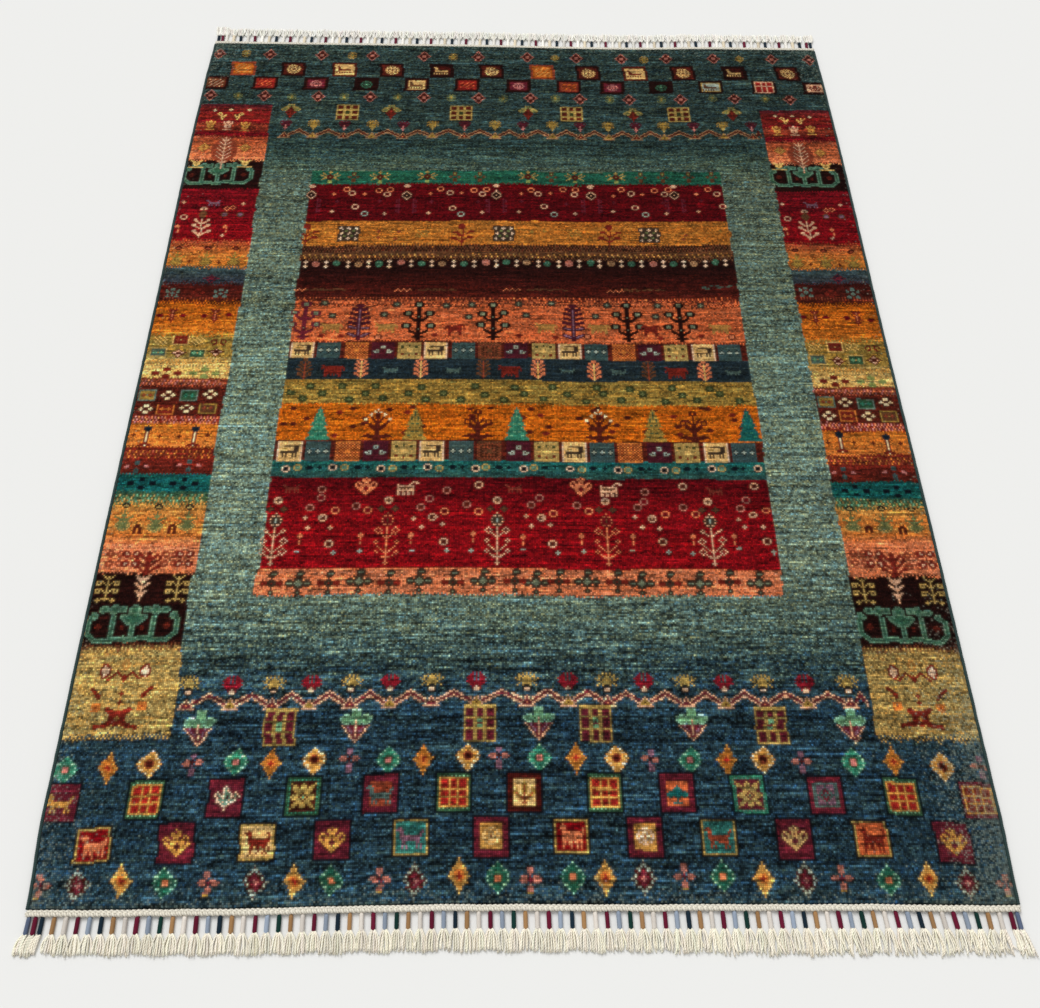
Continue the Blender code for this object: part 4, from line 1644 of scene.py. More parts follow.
def paint_design():
    """The whole pattern before yarn and light vary it, as rows of knots from the near left, and its life."""
    cloth = lay_ground()
    life = np.ones((ROWS, KNOTS, 2)) * GROUND_LIFE

    def note(before, share):
        life[(cloth != before).any(axis=2)] = share

    bare = cloth.copy()
    paint_end_panels(cloth)
    note(bare, MOTIF_LIFE)
    bare = cloth.copy()
    lay_bands(cloth, FIELD_BANDS, FIELD_TOP, FIELD_LEFT, FIELD_RIGHT, NO_DROPS)
    for first, last, dyes in FIELD_DOTS:
        dotted_rows(cloth, FIELD_LEFT + 1, FIELD_RIGHT - 2, range(first, last), dyes)
    note(bare, BAND_LIFE)
    bare = cloth.copy()
    paint_field(cloth)
    field = slice(FIELD_BANDS[0][0], FIELD_TOP)
    for frame in (slice(FIELD_RIGHT + 1, RIGHT_BORDER), slice(SIDE_EDGE, FIELD_LEFT - 1)):
        cloth[field, frame] = bare[field, frame]
    note(bare, MOTIF_LIFE)
    sides = ((0, SIDE_EDGE, 27, LEFT_DROPS), (RIGHT_BORDER, KNOTS, 453, RIGHT_DROPS))
    for left, right, middle, drops in sides:
        bare = cloth.copy()
        lay_bands(cloth, SIDE_BANDS, SIDE_TOP, left, right, drops)
        for first, last, dyes in SIDE_DOTS:
            low = round(first - drop_at(drops, first))
            dotted_rows(cloth, max(left, 1), min(right, KNOTS) - 1, range(low, low + last - first), dyes)
        note(bare, BAND_LIFE)
        life[:QUIET_ROWS, left:right, 0] *= QUIET_SHARE
        bare = cloth.copy()
        paint_side(cloth, middle, drops)
        note(bare, MOTIF_LIFE)
    return cloth, life


# How far the pattern is above straight rows
# columns: row, lift at the left, in the middle and at the right
LIFT_TABLE = (
    (0, -2.5, -2.0, -4.0),
    (13, -2.5, -1.4, -4.5),
    (32, -3.0, 0.4, -3.0),
    (54, -2.5, 0.3, -3.5),
    (72, -2.6, 2.1, -3.3),
    (92, -2.4, 0.8, -2.5),
    (112, -2.5, -0.6, -3.5),
    (134, -3.5, -2.0, -3.5),
    (180, -2.7, -3.0, -3.5),
    (206, -2.0, -3.0, -1.0),
    (250, -1.8, -2.5, -3.4),
    (290, -1.5, -3.0, -2.5),
    (326, -2.6, -4.0, -4.0),
    (343, -1.8, -2.4, -4.0),
    (362, -3.0, -4.2, -4.2),
    (396, -4.0, -4.4, -2.5),
    (410, -3.8, -4.0, 0.5),
    (430, -5.0, -3.0, -0.2),
    (480, -5.0, -2.6, -0.2),
    (510, -4.4, -2.0, 0.2),
    (575, -3.8, -2.6, -0.8),
    (591, -3.6, -3.2, -1.5),
    (610, -3.7, -3.3, -2.0),
    (626, -4.5, -5.0, -4.5),
    (645, -5.0, -4.6, -4.4),
    (672, -4.5, -4.0, -4.0),
)
# How far the pattern is to the right of straight columns
# columns: row, shift at the left and at the right
SHIFT_TABLE = (
    (0, -0.2, -0.2),
    (54, 1.2, -0.6),
    (110, 0.8, -0.6),
    (170, 0.0, 0.0),
    (672, 0.0, 0.0),
)


def bow(*layers):
    """The pattern as hand knotting leaves it: bowed at the near end, and never quite straight."""
    row, column = np.mgrid[0:ROWS, 0:KNOTS].astype(float)
    side = column / (KNOTS - 1) * 2 - 1
    rows, left, middle, right = (np.array(part) for part in zip(*LIFT_TABLE))
    tilt, hollow = (right - left) / 2, (left + right) / 2 - middle
    lift = np.interp(row, rows, middle) + np.interp(row, rows, tilt) * side
    lift += np.interp(row, rows, hollow) * side**2
    rows, left, right = (np.array(part) for part in zip(*SHIFT_TABLE))
    shift = np.interp(row, rows, left) * (1 - side) / 2 + np.interp(row, rows, right) * (1 + side) / 2
    wave_up = 0.6 * smooth_noise(KNOTS, 53, rng)[None, :]
    wave_across = 0.8 * smooth_noise(ROWS, 57, rng)[:, None] + 0.25 * smooth_noise(ROWS, 9, rng)[:, None]
    source_row = np.clip((row - lift + wave_up).round(), 0, ROWS - 1).astype(int)
    source_column = np.clip((column - shift + wave_across).round(), 0, KNOTS - 1).astype(int)
    return [layer[source_row, source_column] for layer in layers]


# How lively the ground's dye is, from row to row of the rug
# columns: row, share of the streaks, share from knot to knot
LIVELY_TABLE = (
    (0, 2.1, 1.3),
    (118, 1.9, 1.3),
    (160, 1.3, 1.1),
    (220, 1.1, 1.0),
    (545, 1.1, 1.0),
    (575, 1.6, 1.0),
    (672, 1.6, 1.1),
)
QUIET_ROWS = 145
QUIET_SHARE = 0.55
# Painted light across the rug: the colour is brightened at the left edge and darkened at the right edge, as the light
# falls from the left
LEFT_PAINTED_LIGHT = 1.04
RIGHT_PAINTED_LIGHT = 0.89


def vary(cloth, life):
    """Uneven dye along the rows and from knot to knot, and painted light that is brighter at the left side and darker
    at the right.
    """
    rows, in_streaks, in_knots = zip(*LIVELY_TABLE)
    row = np.arange(ROWS)
    streak_share = np.interp(row, rows, in_streaks)[:, None] * life[:, :, 0]
    knot_share = np.interp(row, rows, in_knots)[:, None] * life[:, :, 1]
    run = 0.08 * streaks(46) + 0.10 * streaks(16) + 0.09 * streaks(5)
    run += (0.07 * smooth_noise(ROWS, 3.2, rng) + 0.05 * rng.uniform(-1, 1, ROWS))[:, None]
    run += 0.05 * smooth_noise(ROWS, 23, rng)[:, None]
    dark = np.clip(streaks(14) - 0.4, 0, 1) + np.clip(streaks(6) - 0.5, 0, 1)
    light = np.clip(streaks(9) - 0.45, 0, 1) + np.clip(streaks(3) - 0.6, 0, 1)
    knots = rng.normal(0, 0.13, (ROWS, KNOTS)) + 0.08 * rng.choice((-1.0, 1.0), (ROWS, KNOTS))
    value = 1 + streak_share * (run - 0.5 * dark + 0.85 * light) + knot_share * knots
    # Painted light: brighter at the left, darker at the right
    value *= np.linspace(LEFT_PAINTED_LIGHT, RIGHT_PAINTED_LIGHT, KNOTS)[None, :]
    warm = (0.045 * streaks(22) + 0.04 * rng.normal(0, 1, (ROWS, KNOTS))) * life[:, :, 1]
    tint = 1 + warm[:, :, None] * np.array([1.0, 0.1, -1.0])
    return np.clip(cloth * np.clip(value, 0.22, 2.4)[:, :, None] * tint, 0.01, 0.95)


def wear(cloth):
    """Paler, rubbed knots along the sides and ends, most of all at the near right corner."""
    row, column = np.mgrid[0:ROWS, 0:KNOTS].astype(float)
    from_side = np.minimum(column, KNOTS - 1 - column)
    from_end = np.minimum(row, ROWS - 1 - row)
    ends = np.clip(1 - row / 130, 0, 1) + np.clip(1 - (ROWS - row) / 60, 0, 1)
    chance = 0.12 * np.exp(-from_side / 2.5) + 0.5 * ends * np.exp(-from_side / 14)
    chance += 0.45 * np.exp(-from_end / 3.5)
    chance += 0.65 * np.exp(-((KNOTS - column) / 22) ** 2 - ((row - 55) / 75) ** 2)
    rubbed = rng.random((ROWS, KNOTS)) < chance
    pale = dye("mist")
    share = rng.uniform(0.15, 0.62, (ROWS, KNOTS))[:, :, None]
    return np.where(rubbed[:, :, None], cloth + (pale - cloth) * share, cloth)


def linear(colour):
    """Screen colour to light."""
    colour = np.asarray(colour, dtype=float)
    return np.where(colour <= 0.04045, colour / 12.92, ((colour + 0.055) / 1.055) ** 2.4)


# The cloth's outline and height


def eased(table, at, column):
    """A table's column at shares, eased from one row to the next."""
    table = np.array(table)
    at = np.asarray(at, dtype=float)
    low = np.clip(np.searchsorted(table[:, 0], at, side="left") - 1, 0, len(table) - 2)
    t = (at - table[low, 0]) / (table[low + 1, 0] - table[low, 0])
    t = t * t * (3 - 2 * t)
    return table[low, column] * (1 - t) + table[low + 1, column] * t


def left_side(share):
    return -PILE_WIDTH / 2 - eased(SIDE_TABLE, share, 1)


def right_side(share):
    return PILE_WIDTH / 2 + eased(SIDE_TABLE, share, 2)


def near_end(share):
    return -PILE_LENGTH / 2 - eased(END_TABLE, share, 1)


def far_end(share):
    return PILE_LENGTH / 2 + eased(END_TABLE, share, 2)


def on_cloth(across, along):
    x = left_side(along) * (1 - across) + right_side(along) * across
    y = near_end(across) * (1 - along) + far_end(across) * along
    return x, y


def pile_top(x, y):
    waves = [np.sin(across * x + along * y + start) for across, along, start in SWELL_WAVES]
    return PILE_HEIGHT + SWELL_HEIGHT * sum(waves) / len(waves)


# Meshes from arrays


def mesh_object(name, points, starts, corners, material):
    """A smooth-shaded mesh. starts is where each face's corners begin in corners."""
    mesh = bpy.data.meshes.new(name)
    mesh.vertices.add(len(points))
    mesh.vertices.foreach_set("co", np.ascontiguousarray(points, dtype=np.float32).ravel())
    mesh.loops.add(len(corners))
    mesh.loops.foreach_set("vertex_index", np.asarray(corners, dtype=np.int32))
    mesh.polygons.add(len(starts))
    mesh.polygons.foreach_set("loop_start", np.asarray(starts, dtype=np.int32))
    mesh.update(calc_edges=True)
    mesh.polygons.foreach_set("use_smooth", np.ones(len(starts), dtype=bool))
    mesh.materials.append(material)
    made = bpy.data.objects.new(name, mesh)
    bpy.context.scene.collection.objects.link(made)
    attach(made, "root")
    return made


TIP_MIX = 0.35


def at_corners(colours):
    """Each knot's colour at its four corners, where its tips lie among its neighbours' tips."""
    padded = np.pad(colours, ((1, 1), (1, 1), (0, 0)), mode="edge")
    shared = (padded[:-1, :-1] + padded[1:, :-1] + padded[:-1, 1:] + padded[1:, 1:]) / 4
    corners = (shared[:-1, :-1], shared[:-1, 1:], shared[1:, 1:], shared[1:, :-1])
    return np.stack([colours + TIP_MIX * (corner - colours) for corner in corners], axis=2)


def add_corner_colours(mesh, colours):
    layer = mesh.color_attributes.new("dye", "FLOAT_COLOR", "CORNER")
    full = np.ones((len(colours), 4), dtype=np.float32)
    full[:, :3] = colours
    layer.data.foreach_set("color", full.ravel())


def add_bake_map(mesh, places):
    layer = mesh.uv_layers.new(name="OFBake")
    layer.data.foreach_set("uv", np.ascontiguousarray(places, dtype=np.float32).ravel())


# Materials


class Nodes:
    """Short calls for making a material's nodes."""

    def __init__(self, name):
        self.material = bpy.data.materials.new(name)
        self.material.use_nodes = True
        self.tree = self.material.node_tree
        self.shader = self.tree.nodes["Principled BSDF"]

    def link(self, source, target):
        self.tree.links.new(source, target)

    def put(self, kind, **settings):
        node = self.tree.nodes.new(kind)
        for key, value in settings.items():
            setattr(node, key, value)
        return node

    def math(self, operation, first, second=None):
        node = self.put("ShaderNodeMath", operation=operation)
        for socket, value in zip(node.inputs, (first, second)):
            if value is None:
                continue
            if isinstance(value, (int, float)):
                socket.default_value = value
            else:
                self.link(value, socket)
        return node.outputs[0]

    def noise(self, vector, scale, detail=2.0):
        node = self.put("ShaderNodeTexNoise")
        node.inputs["Scale"].default_value = scale
        node.inputs["Detail"].default_value = detail
        if vector is not None:
            self.link(vector, node.inputs["Vector"])
        return node.outputs["Fac"]

    def scaled_colour(self, colour, factor):
        """The colour times a factor from nodes."""
        node = self.put("ShaderNodeVectorMath", operation="SCALE")
        self.link(colour, node.inputs[0])
        self.link(factor, node.inputs["Scale"])
        return node.outputs[0]

    def bump(self, height, strength, distance):
        node = self.put("ShaderNodeBump")
        node.inputs["Strength"].default_value = strength
        node.inputs["Distance"].default_value = distance
        self.link(height, node.inputs["Height"])
        self.link(node.outputs[0], self.shader.inputs["Normal"])

    def soft(self, roughness, sheen):
        self.shader.inputs["Roughness"].default_value = roughness
        self.shader.inputs["Sheen Weight"].default_value = sheen
        self.shader.inputs["Sheen Roughness"].default_value = 0.5
        self.shader.inputs["Specular IOR Level"].default_value = 0.02


KNOT_PITCH = PILE_WIDTH / KNOTS


def pile_material():
    """Cut wool ends, knot by knot, with fibre inside each knot, and painted shade that darkens each knot towards the
    gaps between knots.
    """
    n = Nodes("pile_wool_knots")
    dyes = n.put("ShaderNodeAttribute", attribute_name="dye").outputs["Color"]
    place_of = n.put("ShaderNodeTexCoord").outputs["Object"]
    fibre = n.noise(place_of, 1500.0, 3.0)
    blotch = n.noise(place_of, 420.0, 2.0)
    split = n.put("ShaderNodeSeparateXYZ")
    n.link(n.put("ShaderNodeUVMap", uv_map="OFBake").outputs[0], split.inputs[0])
    across = n.math("PINGPONG", n.math("MULTIPLY", split.outputs[0], KNOTS // TILES_ACROSS), 0.5)
    along = n.math("PINGPONG", n.math("MULTIPLY", split.outputs[1], ROWS // TILES_ALONG), 0.5)
    dome = n.math("MULTIPLY", n.math("MULTIPLY", across, along), 4.0)
    dome = n.math("POWER", n.math("MAXIMUM", dome, 0.0001), 0.5)
    factor = n.math("ADD", n.math("MULTIPLY", fibre, 0.45), n.math("MULTIPLY", blotch, 0.35))
    # Painted shade: the dome makes each knot's colour darker towards its edges, where the gaps between knots lie in
    # shade
    factor = n.math("ADD", factor, n.math("MULTIPLY", dome, 0.65))
    n.link(n.scaled_colour(dyes, n.math("ADD", factor, 0.25)), n.shader.inputs["Base Color"])
    height = n.math("ADD", n.math("MULTIPLY", dome, 0.6), n.math("MULTIPLY", fibre, 0.9))
    n.bump(height, 0.75, 0.0006)
    n.soft(0.9, 0.0)
    return n.material


def yarn_material(name, pitch, plies, depth, roughness):
    """Twisted yarn, with painted shade that darkens the colour in the grooves of the twist. The lay attribute holds
    each place round and along its strand.
    """
    n = Nodes(name)
    dyes = n.put("ShaderNodeAttribute", attribute_name="dye").outputs["Color"]
    lay = n.put("ShaderNodeAttribute", attribute_name="lay").outputs["Vector"]
    split = n.put("ShaderNodeSeparateXYZ")
    n.link(lay, split.inputs[0])
    turn = n.math("MULTIPLY", split.outputs[0], plies)
    run = n.math("MULTIPLY", split.outputs[1], 1 / pitch)
    ridge = n.math("PINGPONG", n.math("ADD", turn, run), 0.5)
    ridge = n.math("MULTIPLY", ridge, 2.0)
    place_of = n.put("ShaderNodeTexCoord").outputs["Object"]
    fibre = n.noise(place_of, 1700.0, 3.0)
    # Painted shade: the colour is darker in the grooves between the twist's ridges
    shade = n.math("ADD", n.math("MULTIPLY", ridge, 0.48), n.math("MULTIPLY", fibre, 0.36))
    n.link(n.scaled_colour(dyes, n.math("ADD", shade, 0.62)), n.shader.inputs["Base Color"])
    n.bump(n.math("ADD", ridge, n.math("MULTIPLY", fibre, 0.5)), 0.8, depth)
    n.soft(roughness, 0.10)
    return n.material


def back_material():
    """The rug's back and edge, with its rows of knot backs, and painted shade between the knot backs."""
    n = Nodes("pile_wool_back")
    dyes = n.put("ShaderNodeAttribute", attribute_name="dye").outputs["Color"]
    place_of = n.put("ShaderNodeTexCoord").outputs["Object"]
    fibre = n.noise(place_of, 1200.0, 3.0)
    split = n.put("ShaderNodeSeparateXYZ")
    n.link(place_of, split.inputs[0])
    across = n.math("PINGPONG", n.math("MULTIPLY", split.outputs[0], 1 / KNOT_PITCH), 0.5)
    along = n.math("PINGPONG", n.math("MULTIPLY", split.outputs[1], 1 / KNOT_PITCH), 0.5)
    knot = n.math("MULTIPLY", n.math("MULTIPLY", across, along), 4.0)
    # Painted shade: the colour is darker between the knot backs
    shade = n.math("ADD", n.math("MULTIPLY", knot, 0.5), n.math("MULTIPLY", fibre, 0.4))
    n.link(n.scaled_colour(dyes, n.math("ADD", shade, 0.55)), n.shader.inputs["Base Color"])
    n.bump(knot, 0.8, 0.0005)
    n.soft(0.92, 0.05)
    return n.material


# The pile

RELIEF = 0.00030
ROW_RELIEF = 0.00012
KNOT_STRAY = 0.00026
RIM_STRAY = 0.0005


def pile_points():
    """The corners of all the knots, as rows from the near left."""
    across, along = np.meshgrid(np.linspace(0, 1, KNOTS + 1), np.linspace(0, 1, ROWS + 1))
    x, y = on_cloth(across, along)
    to_side = np.minimum(across, 1 - across) * PILE_WIDTH
    to_end = np.minimum(along, 1 - along) * PILE_LENGTH
    inwards = np.clip(np.minimum(to_side, to_end) / EDGE_ROUND, 0, 1)
    curve = np.sqrt(1 - (1 - inwards) ** 2)
    relief = rng.normal(0, RELIEF, x.shape) + rng.normal(0, ROW_RELIEF, (ROWS + 1, 1))
    relief = np.clip(relief, -2 * RELIEF, 2 * RELIEF)
    z = EDGE_HEIGHT + (pile_top(x, y) - EDGE_HEIGHT) * curve + relief * (0.4 + 0.6 * curve)
    x = x + rng.uniform(-KNOT_STRAY, KNOT_STRAY, x.shape)
    y = y + rng.uniform(-KNOT_STRAY, KNOT_STRAY, x.shape)
    x[:, 0] += rng.uniform(-0.2, 1, ROWS + 1) * RIM_STRAY
    x[:, -1] -= rng.uniform(-0.2, 1, ROWS + 1) * RIM_STRAY
    y[0] += rng.uniform(-0.6, 1, KNOTS + 1) * RIM_STRAY
    y[-1] -= rng.uniform(-0.2, 1, KNOTS + 1) * RIM_STRAY
    return np.stack([x, y, z], axis=2)


def make_tile(points, colours, across, along, material):
    """One block of the pile, a face to each knot."""
    wide, long = KNOTS // TILES_ACROSS, ROWS // TILES_ALONG
    x0, y0 = across * wide, along * long
    block = points[y0 : y0 + long + 1, x0 : x0 + wide + 1].reshape(-1, 3)
    row, column = np.mgrid[0:long, 0:wide]
    first = (row * (wide + 1) + column).ravel()
    corners = np.stack([first, first + 1, first + wide + 2, first + wide + 1], axis=1)
    starts = np.arange(len(first)) * 4
    made = mesh_object(
        f"pile_{along}_{across}", block, starts, corners.ravel(), material
    )
    add_corner_colours(made.data, colours[y0 : y0 + long, x0 : x0 + wide].reshape(-1, 3))
    u, v = column.ravel() / wide, row.ravel() / long
    step_u, step_v = 1 / wide, 1 / long
    places = np.stack(
        [
            np.stack([u, v], axis=1),
            np.stack([u + step_u, v], axis=1),
            np.stack([u + step_u, v + step_v], axis=1),
            np.stack([u, v + step_v], axis=1),
        ],
        axis=1,
    )
    add_bake_map(made.data, places.reshape(-1, 2))
    return made


# The woven ground under the pile
BACK_ACROSS = 80
BACK_ALONG = 112
BACK_HEIGHT = 0.0061


def make_foundation(colours, material):
    """A closed sheet under the pile: its back shows the pattern, and its edge shows the knots' side."""
    across, along = np.meshgrid(np.linspace(0, 1, BACK_ACROSS + 1), np.linspace(0, 1, BACK_ALONG + 1))
    x, y = on_cloth(across, along)
    low = np.stack([x, y, np.zeros_like(x)], axis=2).reshape(-1, 3)
    rim = np.concatenate(
        [
            np.arange(BACK_ACROSS),
            np.arange(BACK_ALONG) * (BACK_ACROSS + 1) + BACK_ACROSS,
            BACK_ALONG * (BACK_ACROSS + 1) + BACK_ACROSS - np.arange(BACK_ACROSS),
            (BACK_ALONG - np.arange(BACK_ALONG)) * (BACK_ACROSS + 1),
        ]
    )
    high = low[rim].copy()
    high[:, 2] = BACK_HEIGHT
    points = np.concatenate([low, high])
    row, column = np.mgrid[0:BACK_ALONG, 0:BACK_ACROSS]
    first = (row * (BACK_ACROSS + 1) + column).ravel()
    under = np.stack([first, first + BACK_ACROSS + 1, first + BACK_ACROSS + 2, first + 1], axis=1)
    count = len(rim)
    ring = np.arange(count)
    upper = len(low) + ring
    walls = np.stack([rim, np.roll(rim, -1), np.roll(upper, -1), upper], axis=1)
    quads = np.concatenate([under, walls])
    corners = np.concatenate([quads.ravel(), upper])
    starts = np.append(np.arange(len(quads)) * 4, len(quads) * 4)
    made = mesh_object("foundation", points, starts, corners, material)
    at_row = np.clip((along.ravel() * ROWS).astype(int), 0, ROWS - 1)
    at_column = np.clip((across.ravel() * KNOTS).astype(int), 0, KNOTS - 1)
    tone = colours[at_row, at_column]
    add_corner_colours(made.data, np.concatenate([tone, tone[rim]])[corners])
    return made


# Strands


def make_strands(name, centres, widths, heights, sides, colours, material):
    """Many strands in one mesh.

    centres has a row of points for each strand, and widths and heights are its section there.
    """
    strands, rings = widths.shape
    tangent = np.gradient(centres, axis=1)
    tangent /= np.linalg.norm(tangent, axis=2, keepdims=True)
    up = np.array([0.0, 0.0, 1.0])
    across = np.cross(tangent, up)
    across /= np.linalg.norm(across, axis=2, keepdims=True)
    lift = np.cross(across, tangent)
    angle = 2 * math.pi * (np.arange(sides) + 0.5) / sides
    points = (
        centres[:, :, None, :]
        + across[:, :, None, :] * (np.cos(angle)[None, None, :] * widths[:, :, None] / 2)[..., None]
        + lift[:, :, None, :] * (np.sin(angle)[None, None, :] * heights[:, :, None] / 2)[..., None]
    )
    strand, ring, side = np.meshgrid(
        np.arange(strands), np.arange(rings - 1), np.arange(sides), indexing="ij"
    )
    after = (side + 1) % sides
    base = strand * rings * sides + ring * sides
    walls = np.stack([base + side, base + sides + side, base + sides + after, base + after], axis=3)
    first_cap = (np.arange(strands) * rings * sides)[:, None] + np.arange(sides)
    last_cap = first_cap + (rings - 1) * sides
    corners = np.concatenate([walls.ravel(), first_cap.ravel(), last_cap[:, ::-1].ravel()])
    wall_count = strands * (rings - 1) * sides
    cap_starts = wall_count * 4 + np.arange(2 * strands) * sides
    starts = np.concatenate([np.arange(wall_count) * 4, cap_starts])
    made = mesh_object(name, points.reshape(-1, 3), starts, corners, material)

    step = np.linalg.norm(np.diff(centres, axis=1), axis=2)
    run = np.concatenate([np.zeros((strands, 1)), np.cumsum(step, axis=1)], axis=1)
    run += rng.uniform(0, 0.01, (strands, 1))
    round_low, round_high = side / sides, (side + 1) / sides
    here, there = run[strand, ring], run[strand, ring + 1]
    lay = np.stack(
        [
            np.stack([round_low, here], axis=3),
            np.stack([round_low, there], axis=3),
            np.stack([round_high, there], axis=3),
            np.stack([round_high, here], axis=3),
        ],
        axis=3,
    ).reshape(-1, 2)
    cap_lay = np.tile([0.5, 0.0], (2 * strands * sides, 1))
    lay = np.concatenate([lay, cap_lay])
    layer = made.data.attributes.new("lay", "FLOAT_VECTOR", "CORNER")
    full = np.zeros((len(lay), 3), dtype=np.float32)
    full[:, :2] = lay
    layer.data.foreach_set("vector", full.ravel())

    owner = np.concatenate(
        [np.repeat(np.arange(strands), (rings - 1) * sides * 4), np.tile(np.repeat(np.arange(strands), sides), 2)]
    )
    add_corner_colours(made.data, colours[owner])
    grid = math.ceil(math.sqrt(strands))
    share = run / run[:, -1:]
    places = np.stack(
        [
            np.stack([round_low, share[strand, ring]], axis=3),
            np.stack([round_low, share[strand, ring + 1]], axis=3),
            np.stack([round_high, share[strand, ring + 1]], axis=3),
            np.stack([round_high, share[strand, ring]], axis=3),
        ],
        axis=3,
    ).reshape(-1, 2)
    spot = np.stack([0.5 + 0.3 * np.cos(angle), 0.5 + 0.3 * np.sin(angle)], axis=1)
    low_spot = spot * [1, 0.06] + [0, -0.07]
    high_spot = spot[::-1] * [1, 0.06] + [0, 1.01]
    caps = np.concatenate([np.tile(low_spot, (strands, 1)), np.tile(high_spot, (strands, 1))])
    places = np.concatenate([places, caps])
    cell = np.stack([owner % grid, owner // grid], axis=1)
    add_bake_map(made.data, (cell + 0.1 + 0.8 * places) / grid)
    return made


CORD_TURN = 0.0024
CORD_SLANT = 0.0016


def make_side_cord(name, side, sign, material):
    """The overcast cord along one side, turn by turn."""
    across = 0.0 if sign < 0 else 1.0
    start, stop = float(near_end(across)), float(far_end(across))
    turns = int((stop - start) / CORD_TURN)
    count = 2 * turns + 1
    share = np.linspace(0, 1, count)
    y = start + (stop - start) * share
    raised = np.where(np.arange(count) % 2 == 1, 1.0, 0.86)
    x = side(share) + sign * (SEAM_GAP + CORD_WIDTH / 2)
    x = x + 0.0002 * smooth_noise(count, 9, rng)
    heights = CORD_HEIGHT * raised * (1 + 0.03 * smooth_noise(count, 5, rng))
    centres = np.stack([x, y, heights / 2], axis=1)
    widths = (CORD_WIDTH * raised)[None, :]
    yarn = linear(dye("slate")) * 0.9
    made = make_strands(
        name, centres[None], widths, heights[None], 8, yarn[None, :], material
    )
    mesh = made.data
    places = np.zeros(len(mesh.vertices) * 3, dtype=np.float32)
    mesh.vertices.foreach_get("co", places)
    places = places.reshape(-1, 3)
    places[:, 1] += CORD_SLANT * (places[:, 2] / CORD_HEIGHT - 0.5)
    places[:, 1] = np.clip(places[:, 1], start, stop)
    mesh.vertices.foreach_set("co", places.ravel())
    return made


# The ends: plait, wrapped bundles and tassels

WRAP_CYCLE = ("wine", "sky", "midnight", "tan", "pale", "wine", "sky", "pine", "tan", "pale")
WRAP_YARNS = {
    "wine": (98, 24, 46),
    "sky": (144, 156, 172),
    "midnight": (26, 42, 54),
    "tan": (160, 122, 82),
    "pale": (214, 206, 196),
    "blue": (92, 104, 128),
    "pine": (20, 52, 46),
    "cream": (226, 222, 212),
    "sand": (222, 208, 182),
    "cotton": (245, 238, 219),
    "bleached": (250, 246, 236),
    "plait": (224, 218, 202),
}


FADED_YARNS = {"sky": "cream", "tan": "sand", "pale": "bleached", "pine": "midnight", "blue": "midnight"}


def wrap_names(outwards):
    """The yarn of each wrap, left to right. At the far end the pale yarns have faded to cream."""
    names = ["blue", "wine", "midnight", "tan", "pale"]
    while len(names) < BUNDLES - RIGHT_CORNER_BUNDLES:
        names.extend(WRAP_CYCLE)
    names = names[: BUNDLES - RIGHT_CORNER_BUNDLES] + ["wine", "blue"]
    if outwards < 0:
        return names
    return [FADED_YARNS.get(name, name) for name in names[::-1]]


def bundle_starts(width):
    """The left edge of each bundle at the plait, as in the solids."""
    corner_steps = LEFT_CORNER_BUNDLES + RIGHT_CORNER_BUNDLES - 2
    span = width - 2 * FIRST_ROOT - WRAP_WIDTH - corner_steps * CORNER_PITCH
    pitch = span / (BUNDLES - 1 - corner_steps)
    starts = [FIRST_ROOT]
    for number in range(1, BUNDLES):
        near_left = number < LEFT_CORNER_BUNDLES
        near_right = number > BUNDLES - RIGHT_CORNER_BUNDLES
        starts.append(starts[-1] + (CORNER_PITCH if near_left or near_right else pitch))
    return np.array(starts), pitch


PLAIT_PERIOD = 0.0195
PLAIT_STRAND = 0.0047
PLAIT_STEPS = 9
YARNS = 10
YARN_WIDTH = 0.0022
YARN_STEPS = 7
WRAP_TURN = 0.0016


def make_end(label, end, outwards, materials):
    """One end's plait, wraps and tassels."""
    along, lean_column = (0.0, 1) if outwards < 0 else (1.0, 2)
    left = float(left_side(along)) - SEAM_GAP - CORD_WIDTH
    right = float(right_side(along)) + SEAM_GAP + CORD_WIDTH
    width = right - left
    plait = make_plait(label, end, outwards, left, width, materials["plait"])

    starts, pitch = bundle_starts(width)
    middles = starts + WRAP_WIDTH / 2
    share = middles / width
    number = np.arange(BUNDLES)
    lean = eased(LEAN_TABLE, share, lean_column) + 0.0005 * np.sin(0.9 * number)
    lean = lean + rng.normal(0, 0.0004, BUNDLES)
    reach = LOCK_LENGTH + 0.0016 * np.sin(1.7 * number)
    y_root = end(share) + outwards * (SEAM_GAP + PLAIT_WIDTH)
    wraps = make_wraps(label, left + middles, y_root, lean, outwards, materials["wrap"])
    tassels = make_tassels(
        label, left + middles, y_root, lean, reach, pitch, share, outwards, materials["yarn"]
    )
    return plait, wraps, tassels


def make_plait(label, end, outwards, left, width, material):
    """A plait of three cotton strands."""
    margin = PLAIT_STRAND / 2
    count = int(width / PLAIT_PERIOD * PLAIT_STEPS)
    at = np.linspace(margin, width - margin, count)
    centres = []
    for strand in range(3):
        phase = 2 * math.pi * (at / PLAIT_PERIOD + strand / 3)
        swing = (PLAIT_WIDTH - PLAIT_STRAND) / 2
        y = end(at / width) + outwards * (SEAM_GAP + PLAIT_WIDTH / 2 + swing * np.sin(phase))
        z = 0.0036 + 0.0013 * np.sin(2 * phase)
        centres.append(np.stack([left + at, y, z], axis=1))
    centres = np.array(centres)
    centres[:, :, 2] += 0.0002 * smooth_noise(count, 7, rng)
    centres[:, :, 1] += 0.0005 * smooth_noise(count, 11, rng)
    size = np.full((3, count), PLAIT_STRAND)
    yarn = np.tile(linear(np.array(WRAP_YARNS["plait"]) / 255), (3, 1))
    return make_strands(
        f"plait_{label}", centres, size, size * 0.95, 6, yarn, material
    )


